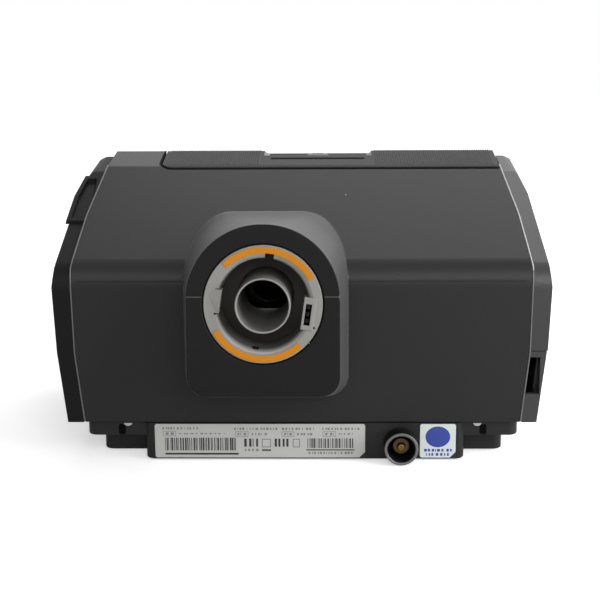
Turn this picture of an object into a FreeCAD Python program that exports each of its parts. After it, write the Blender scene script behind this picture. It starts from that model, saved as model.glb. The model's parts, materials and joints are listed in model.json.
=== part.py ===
"""Bedside CPAP machine with a humidifier tub that slides in from the right.

Frame: millimetres, +Z up, the front with the display faces -Y, the air outlet faces +Y, and X runs to the
right as seen from the front. The origin is on the desk, at the middle of the overall box. Every driving size
is a cell of the sheet of sizes, and every sub-part is bound to those cells.
"""
import FreeCAD, Part

import math
import os
from types import SimpleNamespace

import Sketcher
from FreeCAD import Placement, Rotation, Vector

SIZES = {
    # overall
    "body_width": 205.0,
    "overall_depth": 150.0,
    "overall_height": 116.0,
    "wall": 2.4,
    "seam_gap": 0.5,
    "fit_gap": 0.3,
    "shaft_gap": 0.05,
    # side profile of the case
    "outlet_reach": 32.5,
    "dial_proud": 5.0,
    "case_foot_height": 17.5,
    "rear_ridge_height": 83.3,
    "rear_slope_depth": 61.0,
    "crown_fall": 1.2,
    "front_slope_depth": 21.0,
    "front_ridge_height": 62.0,
    "ridge_radius": 12.0,
    "crown_radius": 5.0,
    # end outline of the case and of its end covers: insets from the widest place, falls from the top
    "case_foot_inset": 11.5,
    "case_belly_inset": 8.4,
    "belly_height": 48.0,
    "case_waist_inset": 7.9,
    "waist_height": 84.0,
    "case_shoulder_inset": 11.2,
    "case_shoulder_fall": 16.5,
    "case_crown_inset": 17.3,
    "cap_foot_inset": 4.3,
    "cap_belly_inset": 1.0,
    "cap_widest_height": 76.0,
    "cap_waist_inset": 1.0,
    "cap_shoulder_inset": 5.7,
    "cap_shoulder_fall": 11.0,
    "cap_brow_inset": 9.0,
    "cap_brow_fall": 4.8,
    "cap_crown_inset": 13.0,
    "cap_drop": 2.5,
    # top panel and its recess
    "panel_gap": 0.9,
    "panel_lap": 1.3,
    "panel_corner": 4.5,
    "panel_inset": 40.5,
    "recess_middle": -6.2,
    "recess_width": 43.6,
    "recess_length": 12.3,
    "recess_depth": 2.2,
    # outlet boss
    "outlet_offset": 14.5,
    "outlet_height": 76.6,
    "outlet_setback": 5.5,
    "outlet_tilt": 8.0,
    "boss_radius": 30.4,
    "boss_rise": 1.3,
    "boss_drop": 37.0,
    "boss_corner": 8.0,
    "boss_foot_width": 67.3,
    "boss_foot_bottom": 29.0,
    "boss_ridge_top": 104.8,
    "boss_back_top": 99.8,
    "boss_back_depth": 36.0,
    "boss_ridge_corner": 26.0,
    "boss_back_corner": 18.0,
    # outlet
    "ring_radius": 23.5,
    "ring_bore": 19.7,
    "ring_thick": 3.0,
    "ring_turn": 8.0,
    "ring_block_reach": 16.7,
    "ring_block_top": 3.5,
    "ring_block_bottom": -5.9,
    "ring_socket_reach": 15.8,
    "ring_socket_top": 5.3,
    "ring_socket_bottom": -7.7,
    "ring_block_depth": 7.0,
    "ring_block_proud": 0.6,
    "ring_slot_reach": 16.9,
    "ring_slot_width": 2.2,
    "ring_slot_bottom": -5.7,
    "ring_slot_top": 2.6,
    "ring_slot_depth": 6.6,
    "ring_notch_left": -1.7,
    "ring_notch_right": 1.7,
    "ring_notch_depth": 0.9,
    "contact_width": 1.2,
    "contact_height": 1.6,
    "contact_length": 6.5,
    "contact_margin": 0.6,
    "contact_pitch": 2.75,
    "mark_inner": 20.3,
    "mark_outer": 22.9,
    "mark_thick": 0.3,
    "upper_mark_start": 28.0,
    "upper_mark_sweep": 106.0,
    "lower_mark_start": 209.0,
    "lower_mark_sweep": 103.0,
    "cup_depth": 30.0,
    "cup_wall": 1.6,
    "tube_diameter": 22.0,
    "tube_root_diameter": 22.4,
    "tube_bore": 19.6,
    "tube_proud": 4.0,
    "tube_length": 54.0,
    "tube_straight": 26.0,
    "tube_bevel": 0.4,
    "seal_thick": 1.1,
    "seal_width": 4.0,
    # bottom pan: insets from the sides, setbacks from the case's front and rear faces
    "pan_inset": 12.0,
    "pan_setback": 3.0,
    "pan_front_setback": 3.0,
    "pan_height": 6.8,
    "block_inset": 17.5,
    "block_setback": 12.5,
    "block_front_setback": 12.5,
    "plinth_left_inset": 34.5,
    "plinth_right_inset": 36.5,
    "plinth_setback": 1.0,
    "plinth_front_setback": 19.5,
    "plinth_corner": 4.0,
    "post_radius": 3.0,
    "post_inset": 10.0,
    "post_reach": 26.0,
    "vent_inset": 26.5,
    "vent_width": 2.6,
    "foot_thick": 0.8,
    "foot_radius": 7.0,
    "foot_inset": 42.5,
    "foot_front_setback": 26.0,
    "foot_rear_setback": 22.5,
    "screw_radius": 1.5,
    "screw_head_radius": 3.1,
    "screw_head_thick": 2.2,
    "screw_head_height": 2.8,
    "screw_post_radius": 4.5,
    "screw_inset": 25.5,
    "screw_front_setback": 22.0,
    "screw_rear_setback": 24.5,
    # humidifier bay and tub
    "bay_left": -1.5,
    "bay_front_setback": 18.0,
    "bay_rear_setback": 24.5,
    "bay_roof": 84.0,
    "bay_wall": 2.0,
    "bay_floor": 2.5,
    "collar_wall": 1.4,
    "collar_length": 6.0,
    "tub_clearance": 1.0,
    "tub_lift": 3.0,
    "tub_wall": 2.0,
    "tub_corner": 8.0,
    "tub_split": 58.0,
    "tub_seal": 1.0,
    "tub_roof_gap": 2.0,
    "tub_inset": 8.0,
    "port_radius": 6.5,
    "port_height": 66.0,
    "catch_proud": 1.5,
    "catch_length": 27.0,
    "catch_inset": 12.0,
    "catch_fall": 20.0,
    "catch_rim": 1.8,
    "catch_sink": 0.2,
    "catch_travel": 1.2,
    "rib_thick": 3.0,
    "rib_inset": 8.0,
    "rib_reach": 1.1,
    "rib_lift": 10.0,
    "rib_height": 22.0,
    "baffle_offset": 24.0,
    "baffle_length": 42.0,
    "baffle_thick": 1.5,
    # heater
    "heater_margin": 4.0,
    "heater_thick": 2.6,
    "heater_well": 8.0,
    "heater_gap": 0.1,
    "tray_wall": 0.5,
    "tray_floor_thick": 1.4,
    "tray_flange": 3.0,
    "flange_thick": 0.8,
    "spring_radius": 3.0,
    "spring_wall": 1.0,
    "spring_inset": 9.0,
    # air path
    "blower_offset": -47.0,
    "blower_setback": 33.5,
    "blower_radius": 29.0,
    "blower_height": 28.0,
    "blower_wall": 2.0,
    "intake_radius": 9.0,
    "mount_height": 3.0,
    "mount_radius": 4.0,
    "mount_ring": 22.0,
    "muffler_inset": 16.5,
    "muffler_gap": 10.5,
    "muffler_front": -20.0,
    "muffler_setback": 4.5,
    "muffler_top": 46.0,
    "foam_gap": 14.0,
    "duct_width": 18.0,
    "duct_length": 12.0,
    "sensor_width": 8.0,
    "sensor_height": 4.0,
    "impeller_radius": 23.0,
    "impeller_height": 8.0,
    "impeller_clearance": 3.0,
    "disc_thick": 1.2,
    "blade_thick": 1.2,
    "blade_sweep": 5.0,
    "blade_count": 11,
    "hub_wall": 3.0,
    "shaft_radius": 2.0,
    "shaft_proud": 0.4,
    "rotor_radius": 6.0,
    "stator_radius": 13.0,
    "bearing_thick": 3.0,
    "filter_thick": 3.3,
    "filter_setback": 6.5,
    "filter_width": 36.0,
    "filter_bottom": 21.0,
    "filter_top": 43.0,
    "filter_door_margin": 7.5,
    "filter_door_top": 48.5,
    "door_recess": 0.4,
    "slot_bottom": 30.0,
    "slot_top": 46.0,
    "slot_depth": 8.0,
    "slot_reach": 0.3,
    # controls
    "bezel_width": 106.0,
    "bezel_margin": 7.0,
    "bezel_proud": 1.2,
    "bezel_corner": 6.0,
    "control_middle": -6.0,
    "screen_offset": -20.0,
    "screen_width": 64.0,
    "screen_margin": 3.0,
    "screen_ledge": 3.0,
    "lens_thick": 1.6,
    "lens_sunk": 0.2,
    "lens_gap": 0.1,
    "lens_corner": 2.0,
    "module_thick": 4.0,
    "dial_radius": 13.5,
    "dial_depth": 7.0,
    "dial_height": 40.0,
    "dial_shaft_radius": 3.0,
    "dial_bore": 4.0,
    "encoder_width": 14.0,
    "encoder_thick": 4.0,
    "control_setback": 8.4,
    "home_offset": -34.0,
    "home_radius": 5.0,
    "start_radius": 5.0,
    "start_setback": 6.5,
    "button_proud": 1.0,
    "button_travel": 0.6,
    "flange": 0.8,
    "flange_height": 1.5,
    "switch_width": 6.0,
    "switch_height": 3.0,
    "control_post_radius": 2.0,
    "front_board_height": 28.0,
    "start_board_width": 28.0,
    "board_thick": 1.6,
    "window_offset": 15.5,
    "window_inset": 16.5,
    "window_bottom": 24.0,
    "window_top": 57.0,
    "window_corner": 6.0,
    # electronics
    "board_inset": 16.5,
    "board_gap": 4.5,
    "board_front_setback": 8.0,
    "board_rear_gap": 4.0,
    "card_width": 24.0,
    "card_length": 32.0,
    "card_thick": 2.1,
    "card_proud": 6.0,
    "card_setback": 16.5,
    "card_travel": 1.0,
    "card_height": 1.0,
    "socket_wall": 1.2,
    "card_door_top": 31.0,
    "card_door_margin": 3.0,
    # power inlet, label and tag
    "inlet_inset": 26.6,
    "inlet_height": 7.6,
    "inlet_radius": 7.0,
    "inlet_bore": 5.6,
    "inlet_proud": 7.0,
    "inlet_depth": 13.0,
    "inlet_floor": 4.0,
    "pin_radius": 1.5,
    "insulator_wall": 2.0,
    "pin_height": 7.0,
    "insulator_height": 9.0,
    "label_gap": 15.0,
    "label_inset": 4.0,
    "label_margin": 0.6,
    "label_height": 15.0,
    "label_thick": 0.25,
    "label_corner": 1.0,
    "tag_inset": 3.6,
    "tag_width": 15.0,
}

# parts on the main board: length, width and height, and how far their middles lie in from its rear corner
BOARD_PARTS = (
    (14.0, 14.0, 1.6, 18.0, 22.0),
    (10.0, 10.0, 1.4, 35.0, 10.0),
    (9.0, 12.0, 8.0, 12.0, 8.0),
    (14.0, 6.0, 8.0, 33.0, 25.0),
)


class Size:
    """A dimension: its number now, and the expression that the document works it out from."""

    def __init__(self, number, text):
        self.number = number
        self.text = text

    def __add__(self, other):
        other = as_size(other)
        return Size(self.number + other.number, f"({self.text} + {other.text})")

    def __sub__(self, other):
        other = as_size(other)
        return Size(self.number - other.number, f"({self.text} - {other.text})")

    def __mul__(self, other):
        other = as_size(other)
        return Size(self.number * other.number, f"{self.text} * {other.text}")

    def __truediv__(self, other):
        other = as_size(other)
        return Size(self.number / other.number, f"{self.text} / ({other.text})")

    def __neg__(self):
        return Size(-self.number, f"(-1) * {self.text}")

    def __radd__(self, other):
        return as_size(other) + self

    def __rsub__(self, other):
        return as_size(other) - self

    def __rmul__(self, other):
        return as_size(other) * self


def as_size(value):
    """A plain number as a Size."""
    return value if isinstance(value, Size) else Size(value, f"({value})")


def sine(angle):
    """Sine of an angle in degrees."""
    angle = as_size(angle)
    return Size(math.sin(math.radians(angle.number)), f"sin(({angle.text}) * 1 deg)")


def cosine(angle):
    """Cosine of an angle in degrees."""
    angle = as_size(angle)
    return Size(math.cos(math.radians(angle.number)), f"cos(({angle.text}) * 1 deg)")


def arctangent(rise, run):
    """Angle in degrees whose tangent is rise over run."""
    slope = as_size(rise) / run
    return Size(math.degrees(math.atan(slope.number)), f"(atan({slope.text}) / 1 deg)")


doc = FreeCAD.newDocument("cpap_machine")
sheet = doc.addObject("Spreadsheet::Sheet", "sizes")
for row, (alias, amount) in enumerate(SIZES.items(), start=1):
    sheet.set(f"A{row}", alias.replace("_", " "))
    sheet.set(f"B{row}", str(amount))
    sheet.setAlias(f"B{row}", alias)
doc.recompute()
dim = SimpleNamespace(**{alias: Size(amount, f"sizes.{alias}") for alias, amount in SIZES.items()})
nodes = []

# ---------------------------------------------------------------- places worked out from the driving sizes

half_width = dim.body_width / 2
case_foot_half = half_width - dim.case_foot_inset
cap_foot_half = half_width - dim.cap_foot_inset
rear_y = dim.overall_depth / 2 - dim.outlet_reach
front_y = dim.dial_proud - dim.overall_depth / 2
crown_rear_y = rear_y - dim.rear_slope_depth
crown_front_y = front_y + dim.front_slope_depth
foot_z = dim.case_foot_height
shoulder_z = dim.overall_height - dim.case_shoulder_fall
panel_end = half_width - dim.panel_inset
outlet_y = dim.overall_depth / 2 - dim.outlet_setback
slope_angle = arctangent(dim.overall_height - dim.front_ridge_height, crown_front_y - front_y)
slope_length = (dim.overall_height - dim.front_ridge_height) / sine(slope_angle)
bezel_up = slope_length / 2 - dim.bezel_margin
screen_up = bezel_up - dim.screen_margin
slope_y = (crown_front_y + front_y) / 2
slope_z = (dim.overall_height + dim.front_ridge_height) / 2
plinth_y = rear_y - dim.plinth_setback
plinth_left = dim.plinth_left_inset - half_width
plinth_right = half_width - dim.plinth_right_inset
inlet_x = plinth_left + dim.inlet_inset
recess_z = dim.overall_height - dim.recess_depth
bay_front = front_y + dim.bay_front_setback
bay_rear = rear_y - dim.bay_rear_setback
bay_mouth = case_foot_half - dim.seam_gap
bay_floor_z = foot_z + dim.bay_floor
tub_z0 = bay_floor_z + dim.tub_lift
tub_front = bay_front + dim.bay_wall + dim.tub_clearance
tub_rear = bay_rear - dim.bay_wall - dim.tub_clearance
tub_left = dim.bay_left + dim.bay_wall + dim.tub_clearance
tub_end = half_width - dim.tub_inset
lid_top = dim.bay_roof - dim.bay_wall - dim.tub_roof_gap
heater_x = (tub_left + tub_end) / 2
heater_y = (tub_front + tub_rear) / 2
heater_radius = (tub_rear - tub_front) / 2 - dim.tub_wall - dim.heater_margin
muffler_left = dim.muffler_inset - half_width
muffler_right = dim.bay_left - dim.muffler_gap
muffler_rear = rear_y - dim.muffler_setback
filter_rear = rear_y - dim.filter_setback
filter_front = filter_rear - dim.filter_width
blower_y = rear_y - dim.blower_setback
blower_z = dim.muffler_top + dim.mount_height
duct_y = blower_y - dim.blower_radius + dim.duct_width / 2
duct_start = dim.bay_left - dim.duct_length
board_left = dim.board_inset - half_width
board_right = dim.bay_left - dim.board_gap
board_front = front_y + dim.board_front_setback
board_rear = dim.muffler_front - dim.board_rear_gap
card_y = board_front + dim.card_setback
OUTSIDE = 130.0  # beyond every face of the machine
REACH = 400.0  # longer than the machine in any direction
PAST = 1.0  # how far a cutting solid runs past the face that it cuts
THROUGH = 20.0  # length of a cutting solid that goes right through a wall


# ---------------------------------------------------------------- drawing helpers

def bind(item, prop, value):
    """Set a property from a number, or bind it to the sheet."""
    if isinstance(value, Size):
        item.setExpression(prop, value.text)
    else:
        item.setExpression(prop, f"{value}")


def place(item, x=0, y=0, z=0, axis=None, angle=None):
    """Bind the place of an object, and its turn about an axis."""
    bind(item, "Placement.Base.x", x)
    bind(item, "Placement.Base.y", y)
    bind(item, "Placement.Base.z", z)
    if axis is not None:
        for letter, part in zip("xyz", axis):
            bind(item, f"Placement.Rotation.Axis.{letter}", part)
        bind(item, "Placement.Rotation.Angle", angle)
    return item


def keep(item, name):
    """Make an object a sub-part of the machine under its own label."""
    item.Label = name
    nodes.append(item)
    return item


def box(name, x, y, z):
    """A block between pairs of planes: x, y and z are (low, high)."""
    block = doc.addObject("Part::Box", name)
    for prop, (low, high) in zip(("Length", "Width", "Height"), (x, y, z)):
        bind(block, prop, as_size(high) - low)
    return place(block, x[0], y[0], z[0])


def rod(name, radius, length, x=0, y=0, z=0, axis=None, angle=None):
    """A cylinder that starts at a point and runs along +Z, or along +Z turned about an axis."""
    cylinder = doc.addObject("Part::Cylinder", name)
    bind(cylinder, "Radius", radius)
    bind(cylinder, "Height", length)
    return place(cylinder, x, y, z, axis, angle)


def rod_y(name, radius, x, y, z):
    """A cylinder along Y between the two values of y."""
    low, high = y
    return rod(name, radius, as_size(high) - low, x, low, z, (1, 0, 0), -90)


def rod_x(name, radius, x, y, z):
    """A cylinder along X between the two values of x."""
    low, high = x
    return rod(name, radius, as_size(high) - low, low, y, z, (0, 1, 0), 90)


def fuse(name, *shapes):
    """One solid, or one group, out of several."""
    union = doc.addObject("Part::MultiFuse", name)
    union.Shapes = list(shapes)
    return union


def common(name, *shapes):
    """What several solids share."""
    shared = doc.addObject("Part::MultiCommon", name)
    shared.Shapes = list(shapes)
    return shared


def cut(name, base, *tools):
    """A solid less the others."""
    rest = doc.addObject("Part::Cut", name)
    rest.Base = base
    rest.Tool = tools[0] if len(tools) == 1 else fuse(name + "_tools", *tools)
    return rest


def new_body(name):
    """An empty PartDesign body."""
    return doc.addObject("PartDesign::Body", name)


def sketch_on(body, role, name, offset=0):
    """A sketch on one of the body's own origin planes, moved along its normal by offset."""
    plane = next(item for item in body.Origin.OriginFeatures if item.Role == role)
    sketch = body.newObject("Sketcher::SketchObject", name)
    sketch.AttachmentSupport = (plane, [""])
    sketch.MapMode = "FlatFace"
    bind(sketch, "AttachmentOffset.Base.z", offset)
    return sketch


def pin_point(sketch, edge, end, point):
    """Hold one point of an edge at its place, both coordinates bound to the sheet."""
    for kind, value in zip(("DistanceX", "DistanceY"), point):
        value = as_size(value)
        index = sketch.addConstraint(Sketcher.Constraint(kind, edge, end, value.number))
        sketch.setExpression(f"Constraints[{index}]", value.text)


def polygon(sketch, corners):
    """A closed outline of straight lines through the corners."""
    first = len(sketch.Geometry)
    count = len(corners)
    points = [Vector(as_size(x).number, as_size(y).number, 0) for x, y in corners]
    for index in range(count):
        sketch.addGeometry(Part.LineSegment(points[index], points[(index + 1) % count]), False)
    for index in range(count):
        following = first + (index + 1) % count
        sketch.addConstraint(Sketcher.Constraint("Coincident", first + index, 2, following, 1))
    for index, corner in enumerate(corners):
        pin_point(sketch, first + index, 1, corner)


def offset_corners(corners, offsets):
    """Corner numbers of a polygon whose edge i is moved inwards by offsets[i]; corners run clockwise."""
    count = len(corners)
    lines = []
    for index in range(count):
        (x0, y0), (x1, y1) = corners[index], corners[(index + 1) % count]
        length = math.hypot(x1 - x0, y1 - y0)
        normal = ((y1 - y0) / length, (x0 - x1) / length)
        lines.append((normal, normal[0] * x0 + normal[1] * y0 + offsets[index]))
    moved = []
    for index in range(count):
        (a, b), first = lines[index - 1]
        (c, d), second = lines[index]
        scale = a * d - b * c
        moved.append(((first * d - second * b) / scale, (a * second - c * first) / scale))
    return moved


def inset_polygon(sketch, corners, offsets):
    """A closed outline with edges parallel to a construction polygon's, each at its own distance inside."""
    count = len(corners)
    polygon(sketch, corners)
    for edge in range(count):
        sketch.setConstruction(edge, True)
    numbers = [tuple(as_size(value).number for value in corner) for corner in corners]
    guess = offset_corners(numbers, [as_size(offset).number for offset in offsets])
    for index in range(count):
        ends = [Vector(*guess[(index + step) % count], 0) for step in (0, 1)]
        sketch.addGeometry(Part.LineSegment(*ends), False)
    for index in range(count):
        following = count + (index + 1) % count
        sketch.addConstraint(Sketcher.Constraint("Coincident", count + index, 2, following, 1))
    for index, offset in enumerate(offsets):
        distance = as_size(offset) if as_size(offset).number > 0 else -as_size(offset)
        sketch.addConstraint(Sketcher.Constraint("Parallel", index, count + index))
        row = sketch.addConstraint(Sketcher.Constraint("Distance", count + index, 1, index, distance.number))
        sketch.setExpression(f"Constraints[{row}]", distance.text)


def circle(sketch, x, y, radius):
    """A circle round a point."""
    x, y, radius = as_size(x), as_size(y), as_size(radius)
    outline = Part.Circle(Vector(x.number, y.number, 0), Vector(0, 0, 1), radius.number)
    edge = sketch.addGeometry(outline, False)
    pin_point(sketch, edge, 3, (x, y))
    index = sketch.addConstraint(Sketcher.Constraint("Radius", edge, radius.number))
    sketch.setExpression(f"Constraints[{index}]", radius.text)


def rounded_box(sketch, x, y, radii):
    """A rectangle between x = (low, high) and y = (low, high); radii are its lower and upper corners'."""
    (x0, x1), (y0, y1) = [(as_size(low), as_size(high)) for low, high in (x, y)]
    low, high = (as_size(radius) for radius in radii)
    lines = (((x0 + low, y0), (x1 - low, y0)), ((x1, y0 + low), (x1, y1 - high)),
             ((x1 - high, y1), (x0 + high, y1)), ((x0, y1 - high), (x0, y0 + low)))
    edges = []
    for start, stop in lines:
        ends = [Vector(px.number, py.number, 0) for px, py in (start, stop)]
        edges.append(sketch.addGeometry(Part.LineSegment(*ends), False))
    centres = ((x1 - low, y0 + low, low, -90), (x1 - high, y1 - high, high, 0),
               (x0 + high, y1 - high, high, 90), (x0 + low, y0 + low, low, 180))
    arcs = []
    for cx, cy, radius, start in centres:
        full = Part.Circle(Vector(cx.number, cy.number, 0), Vector(0, 0, 1), radius.number)
        arc = Part.ArcOfCircle(full, math.radians(start), math.radians(start + 90))
        arcs.append(sketch.addGeometry(arc, False))
    for edge, (start, stop) in zip(edges, lines):
        pin_point(sketch, edge, 1, start)
        pin_point(sketch, edge, 2, stop)
    for index, arc in enumerate(arcs):
        sketch.addConstraint(Sketcher.Constraint("Coincident", edges[index], 2, arc, 1))
        sketch.addConstraint(Sketcher.Constraint("Coincident", arc, 2, edges[(index + 1) % 4], 1))
        radius = centres[index][2]
        constraint = sketch.addConstraint(Sketcher.Constraint("Radius", arc, radius.number))
        sketch.setExpression(f"Constraints[{constraint}]", radius.text)


def pad(body, sketch, length, name="pad"):
    """Material raised from a sketch along its normal."""
    feature = body.newObject("PartDesign::Pad", name)
    feature.Profile = sketch
    bind(feature, "Length", length)
    return feature


def pocket(body, sketch, depth, name="pocket", backwards=False):
    """Material taken away from a sketch against its normal, or along it when backwards."""
    feature = body.newObject("PartDesign::Pocket", name)
    feature.Profile = sketch
    feature.Reversed = backwards
    bind(feature, "Length", depth)
    return feature


def plate(name, x, y, z, radius):
    """A plate with rounded upright corners, as a body: x, y and z are (low, high)."""
    body = new_body(name)
    outline = sketch_on(body, "XY_Plane", name + "_outline", z[0])
    rounded_box(outline, x, y, (radius, radius))
    pad(body, outline, as_size(z[1]) - z[0])
    return body


# ---------------------------------------------------------------- case: hulls

case_outline = (
    (case_foot_half, foot_z),
    (half_width - dim.case_belly_inset, dim.belly_height),
    (half_width - dim.case_waist_inset, dim.waist_height),
    (half_width - dim.case_shoulder_inset, shoulder_z),
    (half_width - dim.case_crown_inset, dim.overall_height),
)


def cap_outline(inset):
    """End outline of an end cover, its half widths drawn in by inset."""
    return (
        (cap_foot_half - inset, foot_z),
        (half_width - dim.cap_belly_inset - inset, dim.belly_height),
        (half_width - inset, dim.cap_widest_height),
        (half_width - dim.cap_waist_inset - inset, dim.waist_height),
        (half_width - dim.cap_shoulder_inset - inset, dim.overall_height - dim.cap_shoulder_fall),
        (half_width - dim.cap_brow_inset - inset, dim.overall_height - dim.cap_brow_fall),
        (half_width - dim.cap_crown_inset - inset, dim.overall_height - dim.cap_drop),
    )


def hull(name, drop, outline=None, wall=0, floor=-PAST):
    """The case as one body: a side profile carried across the machine, trimmed to its end outline if any.

    The crown and the rear ridge lie lower by drop. With a wall the profile is drawn in by it, and by
    floor at the bottom, where a negative floor runs on below the case.
    """
    body = new_body(name)
    ridge = (rear_y, dim.rear_ridge_height - drop / 2)
    crown_rear = (crown_rear_y, dim.overall_height - dim.crown_fall - drop)
    crown_front = (crown_front_y, dim.overall_height - drop)
    front_ridge = (front_y, dim.front_ridge_height)
    corners = [(front_y, foot_z), front_ridge, crown_front, crown_rear, ridge, (rear_y, foot_z)]
    profile = sketch_on(body, "YZ_Plane", name + "_profile")
    if wall:
        inset_polygon(profile, corners, [wall] * 5 + [floor])
    else:
        polygon(profile, corners)
    feature = pad(body, profile, REACH)
    feature.Midplane = True
    if outline:
        feature = trim_ends(body, name, outline)
    ridges = soften(body, feature, 2, 2, dim.ridge_radius - wall, name + "_ridges")
    soften(body, ridges, 0, 2, dim.crown_radius - wall, name + "_crown")
    return body


def trim_ends(body, name, outline):
    """Cut a hull's two ends to an outline of (half width, height) corners."""
    trim = sketch_on(body, "XZ_Plane", name + "_ends")
    for side in (1, -1):
        corners = [(side * x, z) for x, z in outline]
        below = (side * outline[0][0], foot_z - 2 * PAST)
        above = (side * outline[-1][0], OUTSIDE)
        polygon(trim, [below] + corners + [above, (side * REACH, OUTSIDE), (side * REACH, below[1])])
    ends = pocket(body, trim, REACH, name + "_trim")
    ends.Midplane = True
    return ends


def edges_along_x(shape):
    """Names of a hull's edges along X, from the lowest to the highest."""
    found = []
    for number, edge in enumerate(shape.Edges, start=1):
        start, stop = edge.Vertexes[0].Point, edge.Vertexes[-1].Point
        if abs(start.x - stop.x) > 1 and math.dist((start.y, start.z), (stop.y, stop.z)) < 0.01:
            found.append((start.z, f"Edge{number}"))
    return [edge for height, edge in sorted(found)]


def soften(body, base, highest, count, radius, name):
    """Round some of a hull's edges along X: count of them, below the highest ones that are skipped."""
    doc.recompute()
    edges = edges_along_x(base.Shape)
    stop = len(edges) - highest
    feature = body.newObject("PartDesign::Fillet", name)
    feature.Base = (base, edges[stop - count:stop])
    bind(feature, "Radius", radius)
    return feature


def outline_prism(name, outline, grow):
    """An end outline, its half widths enlarged by grow, carried through from front to rear."""
    body = new_body(name)
    sketch = sketch_on(body, "XZ_Plane", name + "_outline")
    right = [(x + grow, z) for x, z in outline]
    left = [(-x, z) for x, z in reversed(right)]
    top = (right[-1][0], OUTSIDE)
    bottom = (right[0][0], 0)
    polygon(sketch, [bottom] + right + [top, (-top[0], OUTSIDE)] + left + [(-bottom[0], 0)])
    pad(body, sketch, REACH).Midplane = True
    return body


def end_shell(name, inset, drop):
    """A hull with a wall all round, closed at its two ends, less all that lies inside the case outline."""
    solid = hull(name + "_solid", drop, cap_outline(inset))
    sleeve = hull(name + "_sleeve", drop, wall=dim.wall, floor=dim.wall)
    hollow = common(name + "_hollow", sleeve, outline_prism(name + "_bore", cap_outline(inset), -dim.wall))
    return cut(name, solid, hollow, case_core)


case_space = hull("case_space", as_size(0), wall=dim.wall)
case_shell = cut("case_shell", hull("case_solid", as_size(0), case_outline), case_space)
case_core = outline_prism("case_core", case_outline, dim.seam_gap)


# ---------------------------------------------------------------- outlet frame

outlet_axis = (0, sine(45 - dim.outlet_tilt / 2), cosine(45 - dim.outlet_tilt / 2))


def at_outlet(item, out=0, right=0, up=0):
    """Place an object in the outlet's frame.

    Its local z points out along the outlet axis, its local y up, and its local x to the right as seen from
    behind. The middle of the ring's face is the frame's origin.
    """
    along = cosine(dim.outlet_tilt)
    rise = sine(dim.outlet_tilt)
    y = outlet_y + along * out - rise * up
    z = dim.outlet_height + rise * out + along * up
    return place(item, dim.outlet_offset - right, y, z, outlet_axis, 180)


def outlet_rod(name, radius, low, high):
    """A cylinder along the outlet axis between two depths."""
    return at_outlet(rod(name, radius, as_size(high) - low), out=low)


def boss_loft(name, inset):
    """The tombstone-shaped boss round the outlet, each section drawn in by inset."""
    body = new_body(name)
    face = sketch_on(body, "XZ_Plane", name + "_face")
    face.setExpression("AttachmentOffset.Base.x", dim.outlet_offset.text)
    bind(face, "AttachmentOffset.Base.y", dim.outlet_height - inset * sine(dim.outlet_tilt))
    bind(face, "AttachmentOffset.Base.z", inset * cosine(dim.outlet_tilt) - outlet_y)
    bind(face, "AttachmentOffset.Rotation.Angle", dim.outlet_tilt)
    for letter, part in zip("xyz", (1, 0, 0)):
        bind(face, f"AttachmentOffset.Rotation.Axis.{letter}", part)
    radius = dim.boss_radius - inset
    rounded_box(face, (-radius, radius), (inset - dim.boss_drop, radius + dim.boss_rise),
                (dim.boss_corner - inset, radius - dim.fit_gap))
    sections = [face]
    half = dim.boss_foot_width / 2 - inset
    backs = ((as_size(PAST), dim.boss_ridge_top, dim.boss_ridge_corner),
             (dim.boss_back_depth + inset, dim.boss_back_top, dim.boss_back_corner))
    for number, (depth, top, corner) in enumerate(backs):
        section = sketch_on(body, "XZ_Plane", f"{name}_section_{number}", depth - rear_y)
        rounded_box(section, (dim.outlet_offset - half, dim.outlet_offset + half),
                    (dim.boss_foot_bottom + inset, top - inset), (dim.boss_corner - inset, corner - inset))
        sections.append(section)
    loft = body.newObject("PartDesign::AdditiveLoft", name + "_loft")
    loft.Profile = sections[0]
    loft.Sections = sections[1:]
    loft.Ruled = True
    return body


# ---------------------------------------------------------------- case: the pieces

def rear_shell():
    """Rear half of the case with the outlet boss moulded on."""
    behind = box("rear_region", (-OUTSIDE, OUTSIDE), (crown_rear_y, OUTSIDE), (0, OUTSIDE))
    strip = box("crown_strip", (panel_end - dim.panel_corner, OUTSIDE), (crown_front_y, crown_rear_y),
                (shoulder_z, OUTSIDE))
    regions = fuse("rear_regions", behind, strip)
    space = cut("rear_space", regions, panel_plate("panel_space", dim.panel_gap))
    skin = common("rear_skin", case_shell, space)
    boss = cut("boss_skin", boss_loft("boss_outer", as_size(0)), case_space)
    bore = outlet_rod("boss_bore", dim.ring_radius + dim.seam_gap, -dim.cup_depth, THROUGH)
    joined = fuse("rear_joined", skin, boss)
    keep(cut("rear_shell", joined, boss_loft("boss_inner", dim.wall), bore), "rear_shell")


def panel_plate(name, gap):
    """The top panel's outline with its rounded rear corner, enlarged by gap, carried up through the crown."""
    return plate(name, (-OUTSIDE, panel_end + gap), (-OUTSIDE, crown_rear_y + dim.panel_lap + gap),
                 (shoulder_z, OUTSIDE), dim.panel_corner + gap)


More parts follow.
